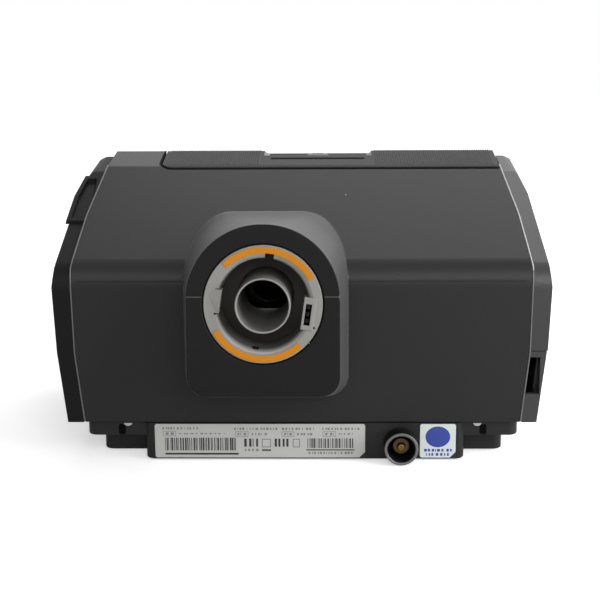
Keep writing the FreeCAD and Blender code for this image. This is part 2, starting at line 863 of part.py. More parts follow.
def top_panel():
    """Ribbed panel on the crown, with the sunk place for the start button."""
    behind = box("crown_region", (-OUTSIDE, OUTSIDE), (crown_front_y, OUTSIDE), (shoulder_z, OUTSIDE))
    area = common("panel_region", panel_plate("panel_area", 0), behind)
    skin = common("panel_skin", case_shell, area)
    left = dim.recess_middle - dim.recess_width / 2
    right = dim.recess_middle + dim.recess_width / 2
    rim = crown_front_y + dim.recess_length
    tray = box("recess_tray", (left - dim.wall, right + dim.wall), (crown_front_y + dim.wall, rim + dim.wall),
               (recess_z - dim.wall, recess_z + PAST))
    sunk = box("recess_space", (left, right), (front_y, rim), (recess_z, OUTSIDE))
    hole = rod("start_hole", dim.start_radius + dim.fit_gap, THROUGH, dim.recess_middle, start_y,
               recess_z - THROUGH / 2)
    post_reach = dim.start_board_width / 2 - dim.control_post_radius - PAST
    posts = [rod(f"start_post_{side}", dim.control_post_radius, recess_z - dim.wall - start_board_top,
                 dim.recess_middle + side * post_reach, start_y, start_board_top) for side in (-1, 1)]
    keep(cut("top_panel", fuse("panel_joined", skin, tray, *posts), sunk, hole), "top_panel")


def front_shell():
    """Front half of the case, with openings for the display, the dial, the home button and the tub window."""
    area = box("front_region", (-OUTSIDE, OUTSIDE), (-OUTSIDE, crown_front_y - dim.seam_gap), (0, OUTSIDE))
    skin = common("front_skin", case_shell, area)
    hole_half = dim.bezel_width / 2 + dim.fit_gap
    hole_up = bezel_up + dim.fit_gap
    bezel_hole = plate("bezel_hole", (dim.control_middle - hole_half, dim.control_middle + hole_half),
                       (-hole_up, hole_up), (-3 * dim.wall, 3 * dim.wall), dim.bezel_corner)
    on_slope(bezel_hole)
    through = (front_y - 2 * dim.wall, front_y + 2 * dim.wall)
    dial_hole = rod_y("dial_hole", dim.dial_radius + dim.fit_gap * 2, dim.control_middle, through,
                      dim.dial_height)
    home_hole = rod_y("home_hole", dim.home_radius + dim.fit_gap, home_x, through, dim.dial_height)
    window = window_plate("window_hole", dim.fit_gap, through)
    post_inset = dim.control_post_radius + PAST
    posts = [rod_y(f"control_post_{x_sign}_{z_sign}", dim.control_post_radius,
                   control_x + x_sign * (control_half - post_inset), (front_y + PAST, control_y),
                   dim.dial_height + z_sign * (dim.front_board_height / 2 - post_inset))
             for x_sign in (-1, 1) for z_sign in (-1, 1)]
    keep(cut("front_shell", fuse("front_joined", skin, *posts), bezel_hole, dial_hole, home_hole, window),
         "front_shell")
    keep(window_plate("tub_window", 0, (front_y, front_y + dim.wall)), "tub_window")


def window_plate(name, gap, y):
    """The tub window's outline, enlarged by gap, between two values of y."""
    body = new_body(name)
    outline = sketch_on(body, "XZ_Plane", name + "_outline", -y[1])
    x = (dim.bay_left + dim.window_offset - gap, half_width - dim.window_inset + gap)
    rounded_box(outline, x, (dim.window_bottom - gap, dim.window_top + gap),
                (dim.window_corner, dim.window_corner))
    pad(body, outline, y[1] - y[0])
    return body


def end_covers():
    """Cover on the filter side with its two doors, and the tub's end cover with its catch."""
    left_half = box("left_half", (-OUTSIDE, 0), (-OUTSIDE, OUTSIDE), (0, OUTSIDE))
    right_half = box("right_half", (0, OUTSIDE), (-OUTSIDE, OUTSIDE), (0, OUTSIDE))
    skin = end_shell("cap_skin", as_size(0), dim.cap_drop)
    gap = dim.fit_gap
    door_front = filter_front - dim.filter_door_margin
    filter_door = door_block("filter_door", (door_front, OUTSIDE), (0, dim.filter_door_top))
    filter_space = door_block("filter_door_space", (door_front - 2 * gap, OUTSIDE),
                              (0, dim.filter_door_top + gap))
    card_half = dim.card_width / 2 + dim.card_door_margin
    door_y = (card_y - card_half, card_y + card_half)
    door_z = (foot_z + dim.wall, dim.card_door_top)
    card_door = door_block("card_door", door_y, door_z)
    card_space = door_block("card_door_space", (door_y[0] - 2 * gap, door_y[1] + gap),
                            (door_z[0] - gap, door_z[1] + gap))
    keep(cut("side_cover", common("side_skin", skin, left_half), filter_space, card_space), "side_cover")
    door_skin = end_shell("door_skin", dim.door_recess, dim.cap_drop)
    slot = box("finger_slot", (-cap_foot_half - dim.slot_reach, -case_foot_half),
               (rear_y - dim.slot_depth, rear_y + dim.wall), (dim.slot_bottom, dim.slot_top))
    keep(cut("filter_cover", common("filter_cover_skin", door_skin, filter_door), slot), "filter_cover")
    keep(common("card_cover", skin, card_door), "card_cover")
    tub_end_cover(common("tub_skin", skin, right_half))


def door_block(name, y, z):
    """The part of the left end cover between two values of y and of z."""
    return box(name, (-OUTSIDE, dim.wall - case_foot_half), y, z)


def tub_end_cover(skin):
    """The humidifier tub's end cover, its ribs to the tub, and the catch in its rear shoulder."""
    gap = dim.fit_gap
    inner = half_width - dim.catch_inset
    half = dim.catch_length / 2
    bottom = dim.overall_height - dim.catch_fall
    hole = box("catch_hole", (inner - gap, OUTSIDE), (-half - gap, half + gap),
               (bottom - gap - dim.catch_travel, OUTSIDE))
    rib_x = (tub_end, cap_foot_half + dim.rib_reach)
    rib_z = (tub_z0 + dim.rib_lift, tub_z0 + dim.rib_lift + dim.rib_height)
    ribs = [box(f"cover_rib_{number}", rib_x, (y, y + dim.rib_thick), rib_z)
            for number, y in enumerate((tub_front + dim.rib_inset, tub_rear - dim.rib_inset - dim.rib_thick))]
    keep(cut("tub_end_cover", fuse("tub_cover_joined", skin, *ribs), hole), "tub_end_cover")
    proud = end_shell("catch_hull", -dim.catch_proud, dim.cap_drop - dim.catch_proud)
    area = box("catch_region", (inner, OUTSIDE), (-half, half), (bottom, OUTSIDE))
    rim = dim.catch_rim
    sunk = box("catch_sunk", (inner - PAST, OUTSIDE), (rim - half, half - rim), (bottom, OUTSIDE))
    inside = outline_prism("catch_rim_inside", cap_outline(rim - dim.catch_proud), 0)
    floor = hull("catch_floor_hull", dim.cap_drop + dim.catch_sink, cap_outline(0))
    space = cut("catch_space", common("catch_between", sunk, inside), floor)
    frame = cut("catch_frame", common("catch_skin", proud, area), space)
    keep(frame, "tub_catch")


def bottom_pan():
    """Stepped bottom pan: a slab, a narrower block and the plinth that carries label and power inlet."""
    top = foot_z
    pan_half = half_width - dim.pan_inset
    block_half = half_width - dim.block_inset
    pan_rear = rear_y - dim.pan_setback
    floor = dim.foot_thick
    slab_z = foot_z - dim.pan_height
    steps = (
        ("slab", -pan_half, pan_half, front_y + dim.pan_front_setback, pan_rear, slab_z),
        ("block", -block_half, block_half, front_y + dim.block_front_setback, rear_y - dim.block_setback,
         floor),
        ("plinth", plinth_left, plinth_right, front_y + dim.plinth_front_setback, plinth_y, floor),
    )
    outer = []
    inner = []
    wall = dim.wall
    for name, left, right, front, rear, low in steps:
        outer.append(plate(name, (left, right), (front, rear), (low, top), dim.plinth_corner))
        inner.append(plate(name + "_space", (left + wall, right - wall), (front + wall, rear - wall),
                           (low + wall, top + PAST), dim.plinth_corner - wall))
    tray = cut("pan_tray", fuse("pan_steps", *outer), *inner)
    posts = [rod(f"pan_post_{number}", dim.post_radius, top - floor, x, y, floor)
             for number, (x, y) in enumerate(post_places())]
    screws = list(enumerate(screw_places()))
    screw_posts = [rod(f"screw_post_{number}", dim.screw_post_radius, top - floor, x, y, floor)
                   for number, (x, y) in screws]
    bores = [rod(f"screw_bore_{number}", dim.screw_radius + dim.fit_gap, REACH, x, y)
             for number, (x, y) in screws]
    sinks = [rod(f"screw_sink_{number}", dim.screw_head_radius + dim.fit_gap, screw_seat, x, y)
             for number, (x, y) in screws]
    inlet_floor = plinth_y + dim.inlet_proud - dim.inlet_depth - dim.inlet_floor
    inlet = rod_y("inlet_hole", dim.inlet_radius + dim.shaft_gap, inlet_x, (inlet_floor - PAST, OUTSIDE),
                  dim.inlet_height)
    vent_x = half_width - dim.vent_inset - dim.vent_width / 2
    vents = [box(f"vent_{name}", (low, low + dim.vent_width), (pan_rear - dim.slot_depth, pan_rear + PAST),
                 (slab_z - PAST, top - dim.wall)) for name, low in (("right", vent_x),
                                                                    ("left", -vent_x - dim.vent_width))]
    keep(cut("bottom_pan", fuse("pan_joined", tray, *posts, *screw_posts), *bores, *sinks, inlet, *vents),
         "bottom_pan")


def post_places():
    """Posts of the pan that carry the tub's bay, the muffler and the main board."""
    inset = dim.post_inset
    reach = dim.post_reach
    bay = ((dim.bay_left + inset, bay_mouth - inset), (bay_front + inset, bay_rear - inset))
    muffler = ((muffler_left + reach, muffler_right - inset),
               (dim.muffler_front + inset, muffler_rear - inset))
    board = ((board_left + reach, board_right - inset), (board_front + inset, board_rear - inset))
    return [(x, y) for xs, ys in (bay, muffler, board) for x in xs for y in ys]


screw_seat = dim.screw_head_height + dim.screw_head_thick


def screw_places():
    """The four case screws."""
    x = half_width - dim.screw_inset
    return [(side, y) for side in (-x, x)
            for y in (front_y + dim.screw_front_setback, rear_y - dim.screw_rear_setback)]


def feet_and_screws():
    """Rubber feet and case screws, one group each, and the two stickers on the plinth."""
    foot_x = half_width - dim.foot_inset
    foot_y = (front_y + dim.foot_front_setback, rear_y - dim.foot_rear_setback)
    feet = [rod(f"foot_{number}", dim.foot_radius, dim.foot_thick, side, y)
            for number, (side, y) in enumerate((side, y) for side in (-foot_x, foot_x) for y in foot_y)]
    keep(fuse("feet", *feet), "feet")
    screws = []
    for number, (x, y) in enumerate(screw_places()):
        shank = rod(f"screw_shank_{number}", dim.screw_radius, foot_z - screw_seat, x, y,
                    screw_seat - dim.fit_gap)
        head = rod(f"screw_head_{number}", dim.screw_head_radius, dim.screw_head_thick, x, y,
                   dim.screw_head_height)
        screws.append(fuse(f"screw_{number}", head, shank))
    keep(fuse("case_screws", *screws), "case_screws")
    low = dim.foot_thick + dim.label_margin
    tag_left = plinth_left + dim.tag_inset
    for name, left, right in (("rating_label", inlet_x + dim.label_gap, plinth_right - dim.label_inset),
                              ("tag_plate", tag_left, tag_left + dim.tag_width)):
        body = new_body(name)
        outline = sketch_on(body, "XZ_Plane", name + "_outline", -plinth_y - dim.label_thick)
        rounded_box(outline, (left, right), (low, low + dim.label_height),
                    (dim.label_corner, dim.label_corner))
        pad(body, outline, dim.label_thick)
        keep(body, name)


# ---------------------------------------------------------------- outlet

def outlet():
    """Cup, ring with its coloured marks, conical tube, contacts and seal, all along the tilted axis."""
    cup_radius = dim.ring_radius + dim.fit_gap
    cup = outlet_rod("cup_outer", cup_radius, -dim.cup_depth - dim.cup_wall, -dim.ring_thick)
    cup_space = outlet_rod("cup_space", cup_radius - dim.cup_wall, -dim.cup_depth, THROUGH)
    cup_hole = outlet_rod("cup_hole", tube_root + dim.shaft_gap, -dim.cup_depth - THROUGH, 0)
    keep(cut("outlet_cup", cup, cup_space, cup_hole), "outlet_cup")
    outlet_ring()
    ring_marks()
    outlet_tube()
    middle = dim.ring_slot_reach + dim.ring_slot_width / 2
    thick = dim.contact_width / 2
    contacts = []
    for number in range(3):
        up = dim.ring_slot_bottom + dim.contact_margin + number * dim.contact_pitch
        contacts.append(ring_block(f"contact_{number}", (middle - thick, middle + thick),
                                   (up, up + dim.contact_height),
                                   (-dim.contact_length, -dim.ring_thick / 2)))
    keep(at_outlet(fuse("contact_pins", *contacts)), "contact_pins")
    seal_low = dim.tube_proud - dim.tube_length + PAST
    seal_high = seal_low + dim.seal_width
    seal = outlet_rod("seal_outer", tube_root + dim.seal_thick, seal_low, seal_high)
    bore = outlet_rod("seal_bore", tube_root, seal_low - PAST, seal_high + PAST)
    keep(cut("outlet_seal", seal, bore), "outlet_seal")


def ring_block(name, right, up, out):
    """A block in the ring's frame, x right, y up and z out, turned clockwise as seen from behind."""
    block = box(name, right, up, out)
    along = cosine(dim.ring_turn)
    aside = sine(dim.ring_turn)
    x = along * right[0] + aside * up[0]
    y = along * up[0] - aside * right[0]
    return place(block, x, y, out[0], (0, 0, -1), dim.ring_turn)


def outlet_ring():
    """Grey ring with two blocks that narrow its opening; the right one holds the heated hose's contacts."""
    disc = rod("ring_disc", dim.ring_radius, dim.ring_thick, z=-dim.ring_thick)
    bore = rod("ring_hole", dim.ring_bore, 2 * THROUGH, z=-THROUGH)
    rim = cut("ring_rim", disc, bore)
    block_end = dim.ring_bore + dim.ring_notch_depth
    left = ring_block("ring_block_left", (-block_end, -dim.ring_block_reach),
                      (dim.ring_block_bottom, dim.ring_block_top), (-dim.ring_block_depth, 0))
    right = ring_block("ring_socket", (dim.ring_socket_reach, block_end),
                       (dim.ring_socket_bottom, dim.ring_socket_top),
                       (-dim.ring_block_depth, dim.ring_block_proud))
    slot = ring_block("ring_slot", (dim.ring_slot_reach, dim.ring_slot_reach + dim.ring_slot_width),
                      (dim.ring_slot_bottom, dim.ring_slot_top), (-dim.ring_slot_depth, THROUGH))
    notch = ring_block("ring_notch", (dim.ring_notch_left, dim.ring_notch_right),
                       (dim.ring_bore - PAST, dim.ring_bore + dim.ring_notch_depth), (-THROUGH, THROUGH))
    ring = cut("outlet_ring", fuse("ring_joined", rim, left, right), slot, notch)
    keep(at_outlet(ring), "outlet_ring")


def ring_marks():
    """Two orange bands on the ring's face."""
    bands = []
    spans = ((dim.upper_mark_start, dim.upper_mark_sweep), (dim.lower_mark_start, dim.lower_mark_sweep))
    for number, (start, sweep) in enumerate(spans):
        band = outlet_rod(f"mark_{number}", dim.mark_outer, 0, dim.mark_thick)
        bind(band, "Angle", sweep)
        tilt_turn = (Rotation(Vector(0, outlet_axis[1].number, outlet_axis[2].number), 180)
                     * Rotation(Vector(0, 0, 1), start.number))
        for letter in "xyz":
            bind(band, f"Placement.Rotation.Axis.{letter}", getattr(tilt_turn.Axis, letter))
        bind(band, "Placement.Rotation.Angle", math.degrees(tilt_turn.Angle))
        bands.append(band)
    inside = outlet_rod("mark_inside", dim.mark_inner, -PAST, PAST)
    keep(cut("ring_marks", fuse("mark_bands", *bands), inside), "ring_marks")


def outlet_tube():
    """The 22 mm conical tube that the hose is pushed onto, turned about its own axis."""
    body = new_body("outlet_tube")
    outline = sketch_on(body, "XZ_Plane", "tube_outline")
    bore = dim.tube_bore / 2
    low = dim.tube_proud - dim.tube_length
    tip = dim.tube_proud
    polygon(outline, [(bore, low), (tube_root, low), (tube_root, -dim.cup_depth),
                      (dim.tube_diameter / 2, tip - dim.tube_straight), (dim.tube_diameter / 2, tip),
                      (bore + dim.tube_bevel, tip)])
    turn = body.newObject("PartDesign::Revolution", "tube_turn")
    turn.Profile = outline
    turn.ReferenceAxis = (outline, ["V_Axis"])
    turn.Angle = 360
    at_outlet(body)
    keep(body, "outlet_tube")


# ---------------------------------------------------------------- humidifier bay, tub and heater

tube_root = dim.tube_root_diameter / 2


def bay_liner():
    """Box that the tub slides into, open on the right, with the collar of the air outlet behind."""
    wall = dim.bay_wall
    outer = box("bay_outer", (dim.bay_left, bay_mouth), (bay_front, bay_rear), (foot_z, dim.bay_roof))
    space = box("bay_space", (dim.bay_left + wall, OUTSIDE), (bay_front + wall, bay_rear - wall),
                (bay_floor_z, dim.bay_roof - wall))
    behind = box("bay_sill", (0, OUTSIDE), (bay_rear - wall, OUTSIDE), (0, OUTSIDE))
    tube_end = dim.tube_proud - dim.tube_length
    bore_radius = tube_root + dim.seal_thick
    collar_rod = outlet_rod("collar_rod", bore_radius + dim.collar_wall, tube_end - THROUGH,
                            tube_end + dim.collar_length)
    collar = common("bay_collar", collar_rod, behind)
    bore = outlet_rod("collar_bore", bore_radius, tube_end - THROUGH, tube_end + dim.collar_length + PAST)
    collar_bore = common("collar_space", bore, box("behind_bay", (0, OUTSIDE), (0, OUTSIDE), (0, OUTSIDE)))
    port = rod_x("bay_port", dim.port_radius, (dim.bay_left - PAST, dim.bay_left + wall + PAST), duct_y,
                 dim.port_height)
    well = rod("heater_opening", heater_radius + 2 * dim.tray_wall, THROUGH, heater_x, heater_y,
               foot_z - THROUGH / 2)
    keep(cut("bay_liner", fuse("bay_joined", outer, collar), space, collar_bore, port, well), "bay_liner")


def tub():
    """Clear tub: base with its metal plate, seal, lid and the baffle that keeps water out of the hose."""
    x = (tub_left, tub_end)
    y = (tub_front, tub_rear)
    wall = dim.tub_wall
    inner_x = (tub_left + wall, tub_end - wall)
    inner_y = (tub_front + wall, tub_rear - wall)
    inner_corner = dim.tub_corner - wall
    base = plate("tub_base_outer", x, y, (tub_z0, dim.tub_split), dim.tub_corner)
    base_space = plate("tub_base_space", inner_x, inner_y, (tub_z0 + wall, dim.tub_split + PAST),
                       inner_corner)
    plate_hole = rod("tub_plate_hole", heater_radius + dim.fit_gap, THROUGH, heater_x, heater_y,
                     tub_z0 - THROUGH / 2)
    keep(cut("tub_base", base, base_space, plate_hole), "tub_base")
    dish = rod("tub_plate_dish", heater_radius, wall, heater_x, heater_y, tub_z0)
    rim = rod("tub_plate_rim", heater_radius + wall, dim.flange_thick, heater_x, heater_y, tub_z0 + wall)
    keep(fuse("tub_plate", dish, rim), "tub_plate")
    lid_low = dim.tub_split + dim.tub_seal
    seal = plate("seal_outer", x, y, (dim.tub_split, lid_low), dim.tub_corner)
    seal_space = plate("seal_space", inner_x, inner_y, (dim.tub_split - PAST, lid_low + PAST), inner_corner)
    keep(cut("lid_seal", seal, seal_space), "lid_seal")
    lid = plate("tub_lid_outer", x, y, (lid_low, lid_top), dim.tub_corner)
    lid_space = plate("tub_lid_space", inner_x, inner_y, (lid_low - PAST, lid_top - wall), inner_corner)
    inlet = rod_x("tub_inlet", dim.port_radius, (tub_left - PAST, tub_left + wall + PAST), duct_y,
                  dim.port_height)
    outlet_bore = outlet_rod("tub_outlet_rod", dim.port_radius, -dim.tube_length - THROUGH, 0)
    rear_wall = box("tub_rear_wall", (0, OUTSIDE), (tub_rear - wall - PAST, tub_rear + PAST), (0, OUTSIDE))
    outlet_hole = common("tub_outlet", outlet_bore, rear_wall)
    keep(cut("tub_lid", lid, lid_space, inlet, outlet_hole), "tub_lid")
    baffle_x = inner_x[0] + dim.baffle_offset
    thick = dim.baffle_thick
    floor = box("baffle_floor", (baffle_x, baffle_x + dim.baffle_length), inner_y,
                (lid_low + dim.tub_seal, lid_low + dim.tub_seal + thick))
    fence = box("baffle_fence", (baffle_x, baffle_x + thick), inner_y,
                (lid_low + dim.tub_seal, lid_top - wall))
    keep(fuse("air_baffle", floor, fence), "air_baffle")


def heater():
    """Sprung heater plate under the tub, its springs and the tray that holds them."""
    x = heater_x
    y = heater_y
    plate_top = tub_z0 - dim.heater_gap
    plate_low = plate_top - dim.heater_thick
    tray_floor = plate_low - dim.heater_well
    keep(rod("heater_plate", heater_radius, dim.heater_thick, x, y, plate_low), "heater_plate")
    tray_low = tray_floor - dim.tray_floor_thick
    tray_bore = heater_radius + dim.tray_wall - dim.heater_gap
    tray = rod("tray_outer", tray_bore + dim.tray_wall, bay_floor_z - tray_low, x, y, tray_low)
    tray_space = rod("tray_space", tray_bore, THROUGH, x, y, tray_floor)
    flange = rod("tray_flange", heater_radius + dim.tray_flange, dim.flange_thick, x, y, bay_floor_z)
    keep(cut("heater_tray", fuse("tray_joined", tray, flange), tray_space), "heater_tray")
    springs = []
    ring = heater_radius - dim.spring_inset
    for number in range(3):
        angle = math.radians(90 + number * 120)
        spring_x = x + ring * math.cos(angle)
        spring_y = y + ring * math.sin(angle)
        outer = rod(f"spring_{number}", dim.spring_radius, dim.heater_well, spring_x, spring_y, tray_floor)
        inner = rod(f"spring_space_{number}", dim.spring_radius - dim.spring_wall, THROUGH,
                    spring_x, spring_y, tray_floor - PAST)
        springs.append(cut(f"spring_tube_{number}", outer, inner))
    keep(fuse("heater_springs", *springs), "heater_springs")


# ---------------------------------------------------------------- air path

def air_inlet():
    """Filter, its grille and the muffler box with the foam that quietens the air."""
    wall = dim.blower_wall
    y = (filter_front, filter_rear)
    z = (dim.filter_bottom, dim.filter_top)
    inner_y = (dim.muffler_front + wall, muffler_rear - wall)
    inner_z = (foot_z + wall, dim.muffler_top - wall)
    outer = box("muffler_outer", (muffler_left, muffler_right), (dim.muffler_front, muffler_rear),
                (foot_z, dim.muffler_top))
    space = box("muffler_space", (muffler_left + wall, muffler_right - wall), inner_y, inner_z)
    mouth = box("muffler_mouth", (muffler_left - PAST, muffler_left + wall + PAST),
                (y[0] + wall, y[1] - wall), (z[0] + wall, z[1] - wall))
    exit_hole = rod("muffler_exit", dim.intake_radius, THROUGH, dim.blower_offset, blower_y,
                    dim.muffler_top - THROUGH / 2)
    keep(cut("muffler_box", outer, space, mouth, exit_hole), "muffler_box")
    foam = box("foam_outer", (muffler_left + wall + dim.foam_gap, muffler_right - wall), inner_y, inner_z)
    lining = 3 * wall
    channel = box("foam_channel", (muffler_left, dim.blower_offset), (y[0] + lining, y[1] - lining),
                  (z[0] + lining, z[1] - lining))
    riser = rod("foam_riser", dim.intake_radius + wall, REACH, dim.blower_offset, blower_y, z[0] + lining)
    keep(cut("muffler_foam", foam, channel, riser), "muffler_foam")
    grille_x = (muffler_left - wall, muffler_left)
    frame = box("grille_frame", grille_x, y, z)
    holes = []
    bars = 5
    pitch = (dim.filter_width - wall) / bars
    for number in range(bars):
        low = y[0] + wall + number * pitch
        holes.append(box(f"grille_hole_{number}", (grille_x[0] - PAST, grille_x[1] + PAST),
                         (low, low + pitch - wall), (z[0] + wall, z[1] - wall)))
    keep(cut("filter_grille", frame, *holes), "filter_grille")
    keep(box("air_filter", (grille_x[0] - dim.filter_thick, grille_x[0]), y, z), "air_filter")


def volute(name, low, high, closed_low, wall_holes):
    """One half of the blower housing, between two heights, with its half of the outlet duct."""
    wall = dim.blower_wall
    middle = dim.port_height
    half = dim.duct_width / 2
    drum = rod(name + "_drum", dim.blower_radius, high - low, dim.blower_offset, blower_y, low)
    duct = box(name + "_duct", (dim.blower_offset, duct_start), (duct_y - half, duct_y + half),
               (max_z(low, middle - half), min_z(high, middle + half)))
    floor = low + wall if closed_low else low - PAST
    ceiling = high + PAST if closed_low else high - wall
    space = rod(name + "_space", dim.blower_radius - wall, ceiling - floor, dim.blower_offset, blower_y,
                floor)
    bore_half = half - wall
    bore = box(name + "_bore", (dim.blower_offset, duct_start + PAST),
               (duct_y - bore_half, duct_y + bore_half), (middle - bore_half, middle + bore_half))
    return keep(cut(name, fuse(name + "_joined", drum, duct), space, bore, *wall_holes), name)


def max_z(first, second):
    """The higher of two heights."""
    return first if first.number > second.number else second


def min_z(first, second):
    """The lower of two heights."""
    return first if first.number < second.number else second


def blower():
    """Blower: two housing halves on rubber mounts, impeller and rotor on one shaft, stator and bearings."""
    x = dim.blower_offset
    y = blower_y
    low = blower_z
    middle = dim.port_height
    high = blower_z + dim.blower_height
    wall = dim.blower_wall
    intake = rod("blower_intake", dim.intake_radius, THROUGH, x, y, low - THROUGH / 2)
    volute("blower_base", low, middle, True, [intake])
    seat_radius = dim.shaft_radius + dim.hub_wall
    top_bore = rod("cover_bore", seat_radius, THROUGH, x, y, high - THROUGH / 2)
    volute("blower_cover", middle, high, False, [top_bore])
    mounts = []
    for number in range(3):
        angle = math.radians(30 + number * 120)
        mounts.append(rod(f"mount_{number}", dim.mount_radius, dim.mount_height,
                          x + dim.mount_ring * math.cos(angle), y + dim.mount_ring * math.sin(angle),
                          dim.muffler_top))
    keep(fuse("blower_mounts", *mounts), "blower_mounts")
    wheel_z = low + wall + dim.impeller_clearance
    impeller(x, y, wheel_z)
    shaft = rod("shaft_rod", dim.shaft_radius, high + dim.shaft_proud - wheel_z, x, y, wheel_z)
    stator_low = middle + PAST
    stator_high = high - wall
    rotor = rod("rotor_drum", dim.rotor_radius, stator_high - 2 * wall - stator_low, x, y, stator_low)
    keep(fuse("motor_shaft", shaft, rotor), "motor_shaft")
    drum = rod("stator_drum", dim.stator_radius, stator_high - stator_low, x, y, stator_low)
    drum_bore = rod("stator_bore", dim.rotor_radius + dim.seam_gap, REACH, x, y, stator_low - PAST)
    keep(cut("motor_stator", drum, drum_bore), "motor_stator")
    bearing_low = high - dim.bearing_thick
    bearing = rod("bearing_outer", seat_radius, dim.bearing_thick, x, y, bearing_low)
    bearing_bore = rod("bearing_bore", dim.shaft_radius + dim.shaft_gap, THROUGH, x, y, bearing_low - PAST)
    keep(cut("motor_bearing", bearing, bearing_bore), "motor_bearing")
    sleeve = rod_x("duct_sleeve", dim.duct_width / 2, (duct_start, dim.bay_left), duct_y, middle)
    bore_x = (duct_start - PAST, dim.bay_left + PAST)
    sleeve_bore = rod_x("duct_bore", dim.duct_width / 2 - wall, bore_x, duct_y, middle)
    keep(cut("outlet_duct", sleeve, sleeve_bore), "outlet_duct")
    top = middle + dim.duct_width / 2
    half = dim.sensor_width / 2
    keep(box("flow_sensor", (duct_start + wall, dim.bay_left - wall), (duct_y - half, duct_y + half),
             (top, top + dim.sensor_height)), "flow_sensor")


def impeller(x, y, z):
    """Impeller: a disc, a hub and blades in a polar pattern."""
    body = new_body("impeller")
    disc = sketch_on(body, "XY_Plane", "impeller_disc")
    circle(disc, 0, 0, dim.impeller_radius)
    circle(disc, 0, 0, dim.shaft_radius)
    pad(body, disc, dim.disc_thick, "disc_pad")
    hub = sketch_on(body, "XY_Plane", "impeller_hub", dim.disc_thick)
    circle(hub, 0, 0, dim.shaft_radius + dim.hub_wall)
    circle(hub, 0, 0, dim.shaft_radius)
    pad(body, hub, dim.impeller_height - dim.disc_thick, "hub_pad")
    blade = sketch_on(body, "XY_Plane", "blade_outline", dim.disc_thick)
    inner = dim.shaft_radius + 2 * dim.hub_wall
    outer = dim.impeller_radius - dim.seam_gap
    thick = dim.blade_thick
    polygon(blade, [(inner, 0), (outer, dim.blade_sweep), (outer, dim.blade_sweep + thick), (inner, thick)])
    raised = pad(body, blade, dim.impeller_height - dim.disc_thick, "blade_pad")
    ring = body.newObject("PartDesign::PolarPattern", "blades")
    ring.Originals = [raised]
    ring.Axis = (disc, ["N_Axis"])
    ring.Angle = 360
    bind(ring, "Occurrences", dim.blade_count)
    body.Tip = ring
    place(body, x, y, z)
    keep(body, "impeller")


# ---------------------------------------------------------------- controls

def on_slope(item):
    """Place an object in the frame of the front slope: local y up the slope, local z outwards."""
    return place(item, 0, slope_y, slope_z, (1, 0, 0), slope_angle)


home_x = dim.control_middle + dim.home_offset
start_y = crown_front_y + dim.start_setback
control_y = front_y + dim.control_setback
control_half = (dim.dial_radius - dim.home_offset + dim.home_radius) / 2 + 2 * PAST
control_x = dim.control_middle + (dim.dial_radius + dim.home_offset) / 2
flange_top = recess_z - dim.wall - 2 * dim.fit_gap
start_switch_top = flange_top - dim.flange_height - dim.button_travel - dim.fit_gap
start_board_top = start_switch_top - dim.switch_height


def display():
    """Glossy bezel with its lens, the display module and its board, all on the front slope."""
    middle = dim.control_middle
    half = dim.bezel_width / 2
    screen_x = middle + dim.screen_offset
    body = new_body("display_bezel")
    outline = sketch_on(body, "XY_Plane", "bezel_outline", -dim.wall)
    rounded_box(outline, (middle - half, middle + half), (-bezel_up, bezel_up),
                (dim.bezel_corner, dim.bezel_corner))
    pad(body, outline, dim.wall + dim.bezel_proud, "bezel_pad")
    seat = sketch_on(body, "XY_Plane", "lens_seat", dim.bezel_proud)
    screen_half = dim.screen_width / 2
    corner = dim.lens_corner
    rounded_box(seat, (screen_x - screen_half, screen_x + screen_half), (-screen_up, screen_up),
                (corner, corner))
    pocket(body, seat, dim.lens_thick + dim.lens_sunk, "seat_pocket")
    opening = sketch_on(body, "XY_Plane", "screen_opening", dim.bezel_proud)
    inner_half = screen_half - dim.screen_ledge
    inner_up = screen_up - dim.screen_ledge
    rounded_box(opening, (screen_x - inner_half, screen_x + inner_half), (-inner_up, inner_up),
                (corner / 2, corner / 2))
    pocket(body, opening, THROUGH, "opening_pocket")
    on_slope(body)
    keep(body, "display_bezel")
    lens_half = screen_half - dim.lens_gap
    lens_up = screen_up - dim.lens_gap
    lens_top = dim.bezel_proud - dim.lens_sunk
    lens = plate("display_lens", (screen_x - lens_half, screen_x + lens_half), (-lens_up, lens_up),
                 (lens_top - dim.lens_thick, lens_top), corner - dim.lens_gap)
    keep(on_slope(lens), "display_lens")
    margin = dim.screen_ledge
    module = plate("display_module", (screen_x - screen_half - margin, screen_x + screen_half + margin),
                   (-screen_up - margin / 2, screen_up - margin), (-dim.wall - dim.module_thick, -dim.wall),
                   corner / 2)
    keep(on_slope(module), "display_module")


def dial():
    """Push-and-turn dial on the lower front: knob, shaft and encoder."""
    x = dim.control_middle
    z = dim.dial_height
    tip = front_y - dim.dial_proud
    back = tip + dim.dial_depth
    body = new_body("dial_knob")
    outline = sketch_on(body, "XZ_Plane", "knob_outline", -back)
    circle(outline, x, z, dim.dial_radius)
    pad(body, outline, dim.dial_depth, "knob_pad")
    bore = sketch_on(body, "XZ_Plane", "knob_bore", -back)
    circle(bore, x, z, dim.dial_shaft_radius + dim.shaft_gap)
    pocket(body, bore, dim.dial_bore, "bore_pocket", backwards=True)
    keep(body, "dial_knob")
    shaft_y = (back - dim.dial_bore + dim.heater_gap, control_y - dim.flange_height)
    keep(rod_y("dial_shaft", dim.dial_shaft_radius, x, shaft_y, z), "dial_shaft")
    half = dim.encoder_width / 2
    front = control_y - dim.encoder_thick
    case = box("encoder_case", (x - half, x + half), (front, control_y), (z - half, z + half))
    shaft_hole = rod_y("encoder_hole", dim.dial_shaft_radius + dim.shaft_gap, x,
                       (front - PAST, control_y + PAST), z)
    keep(cut("dial_encoder", case, shaft_hole), "dial_encoder")


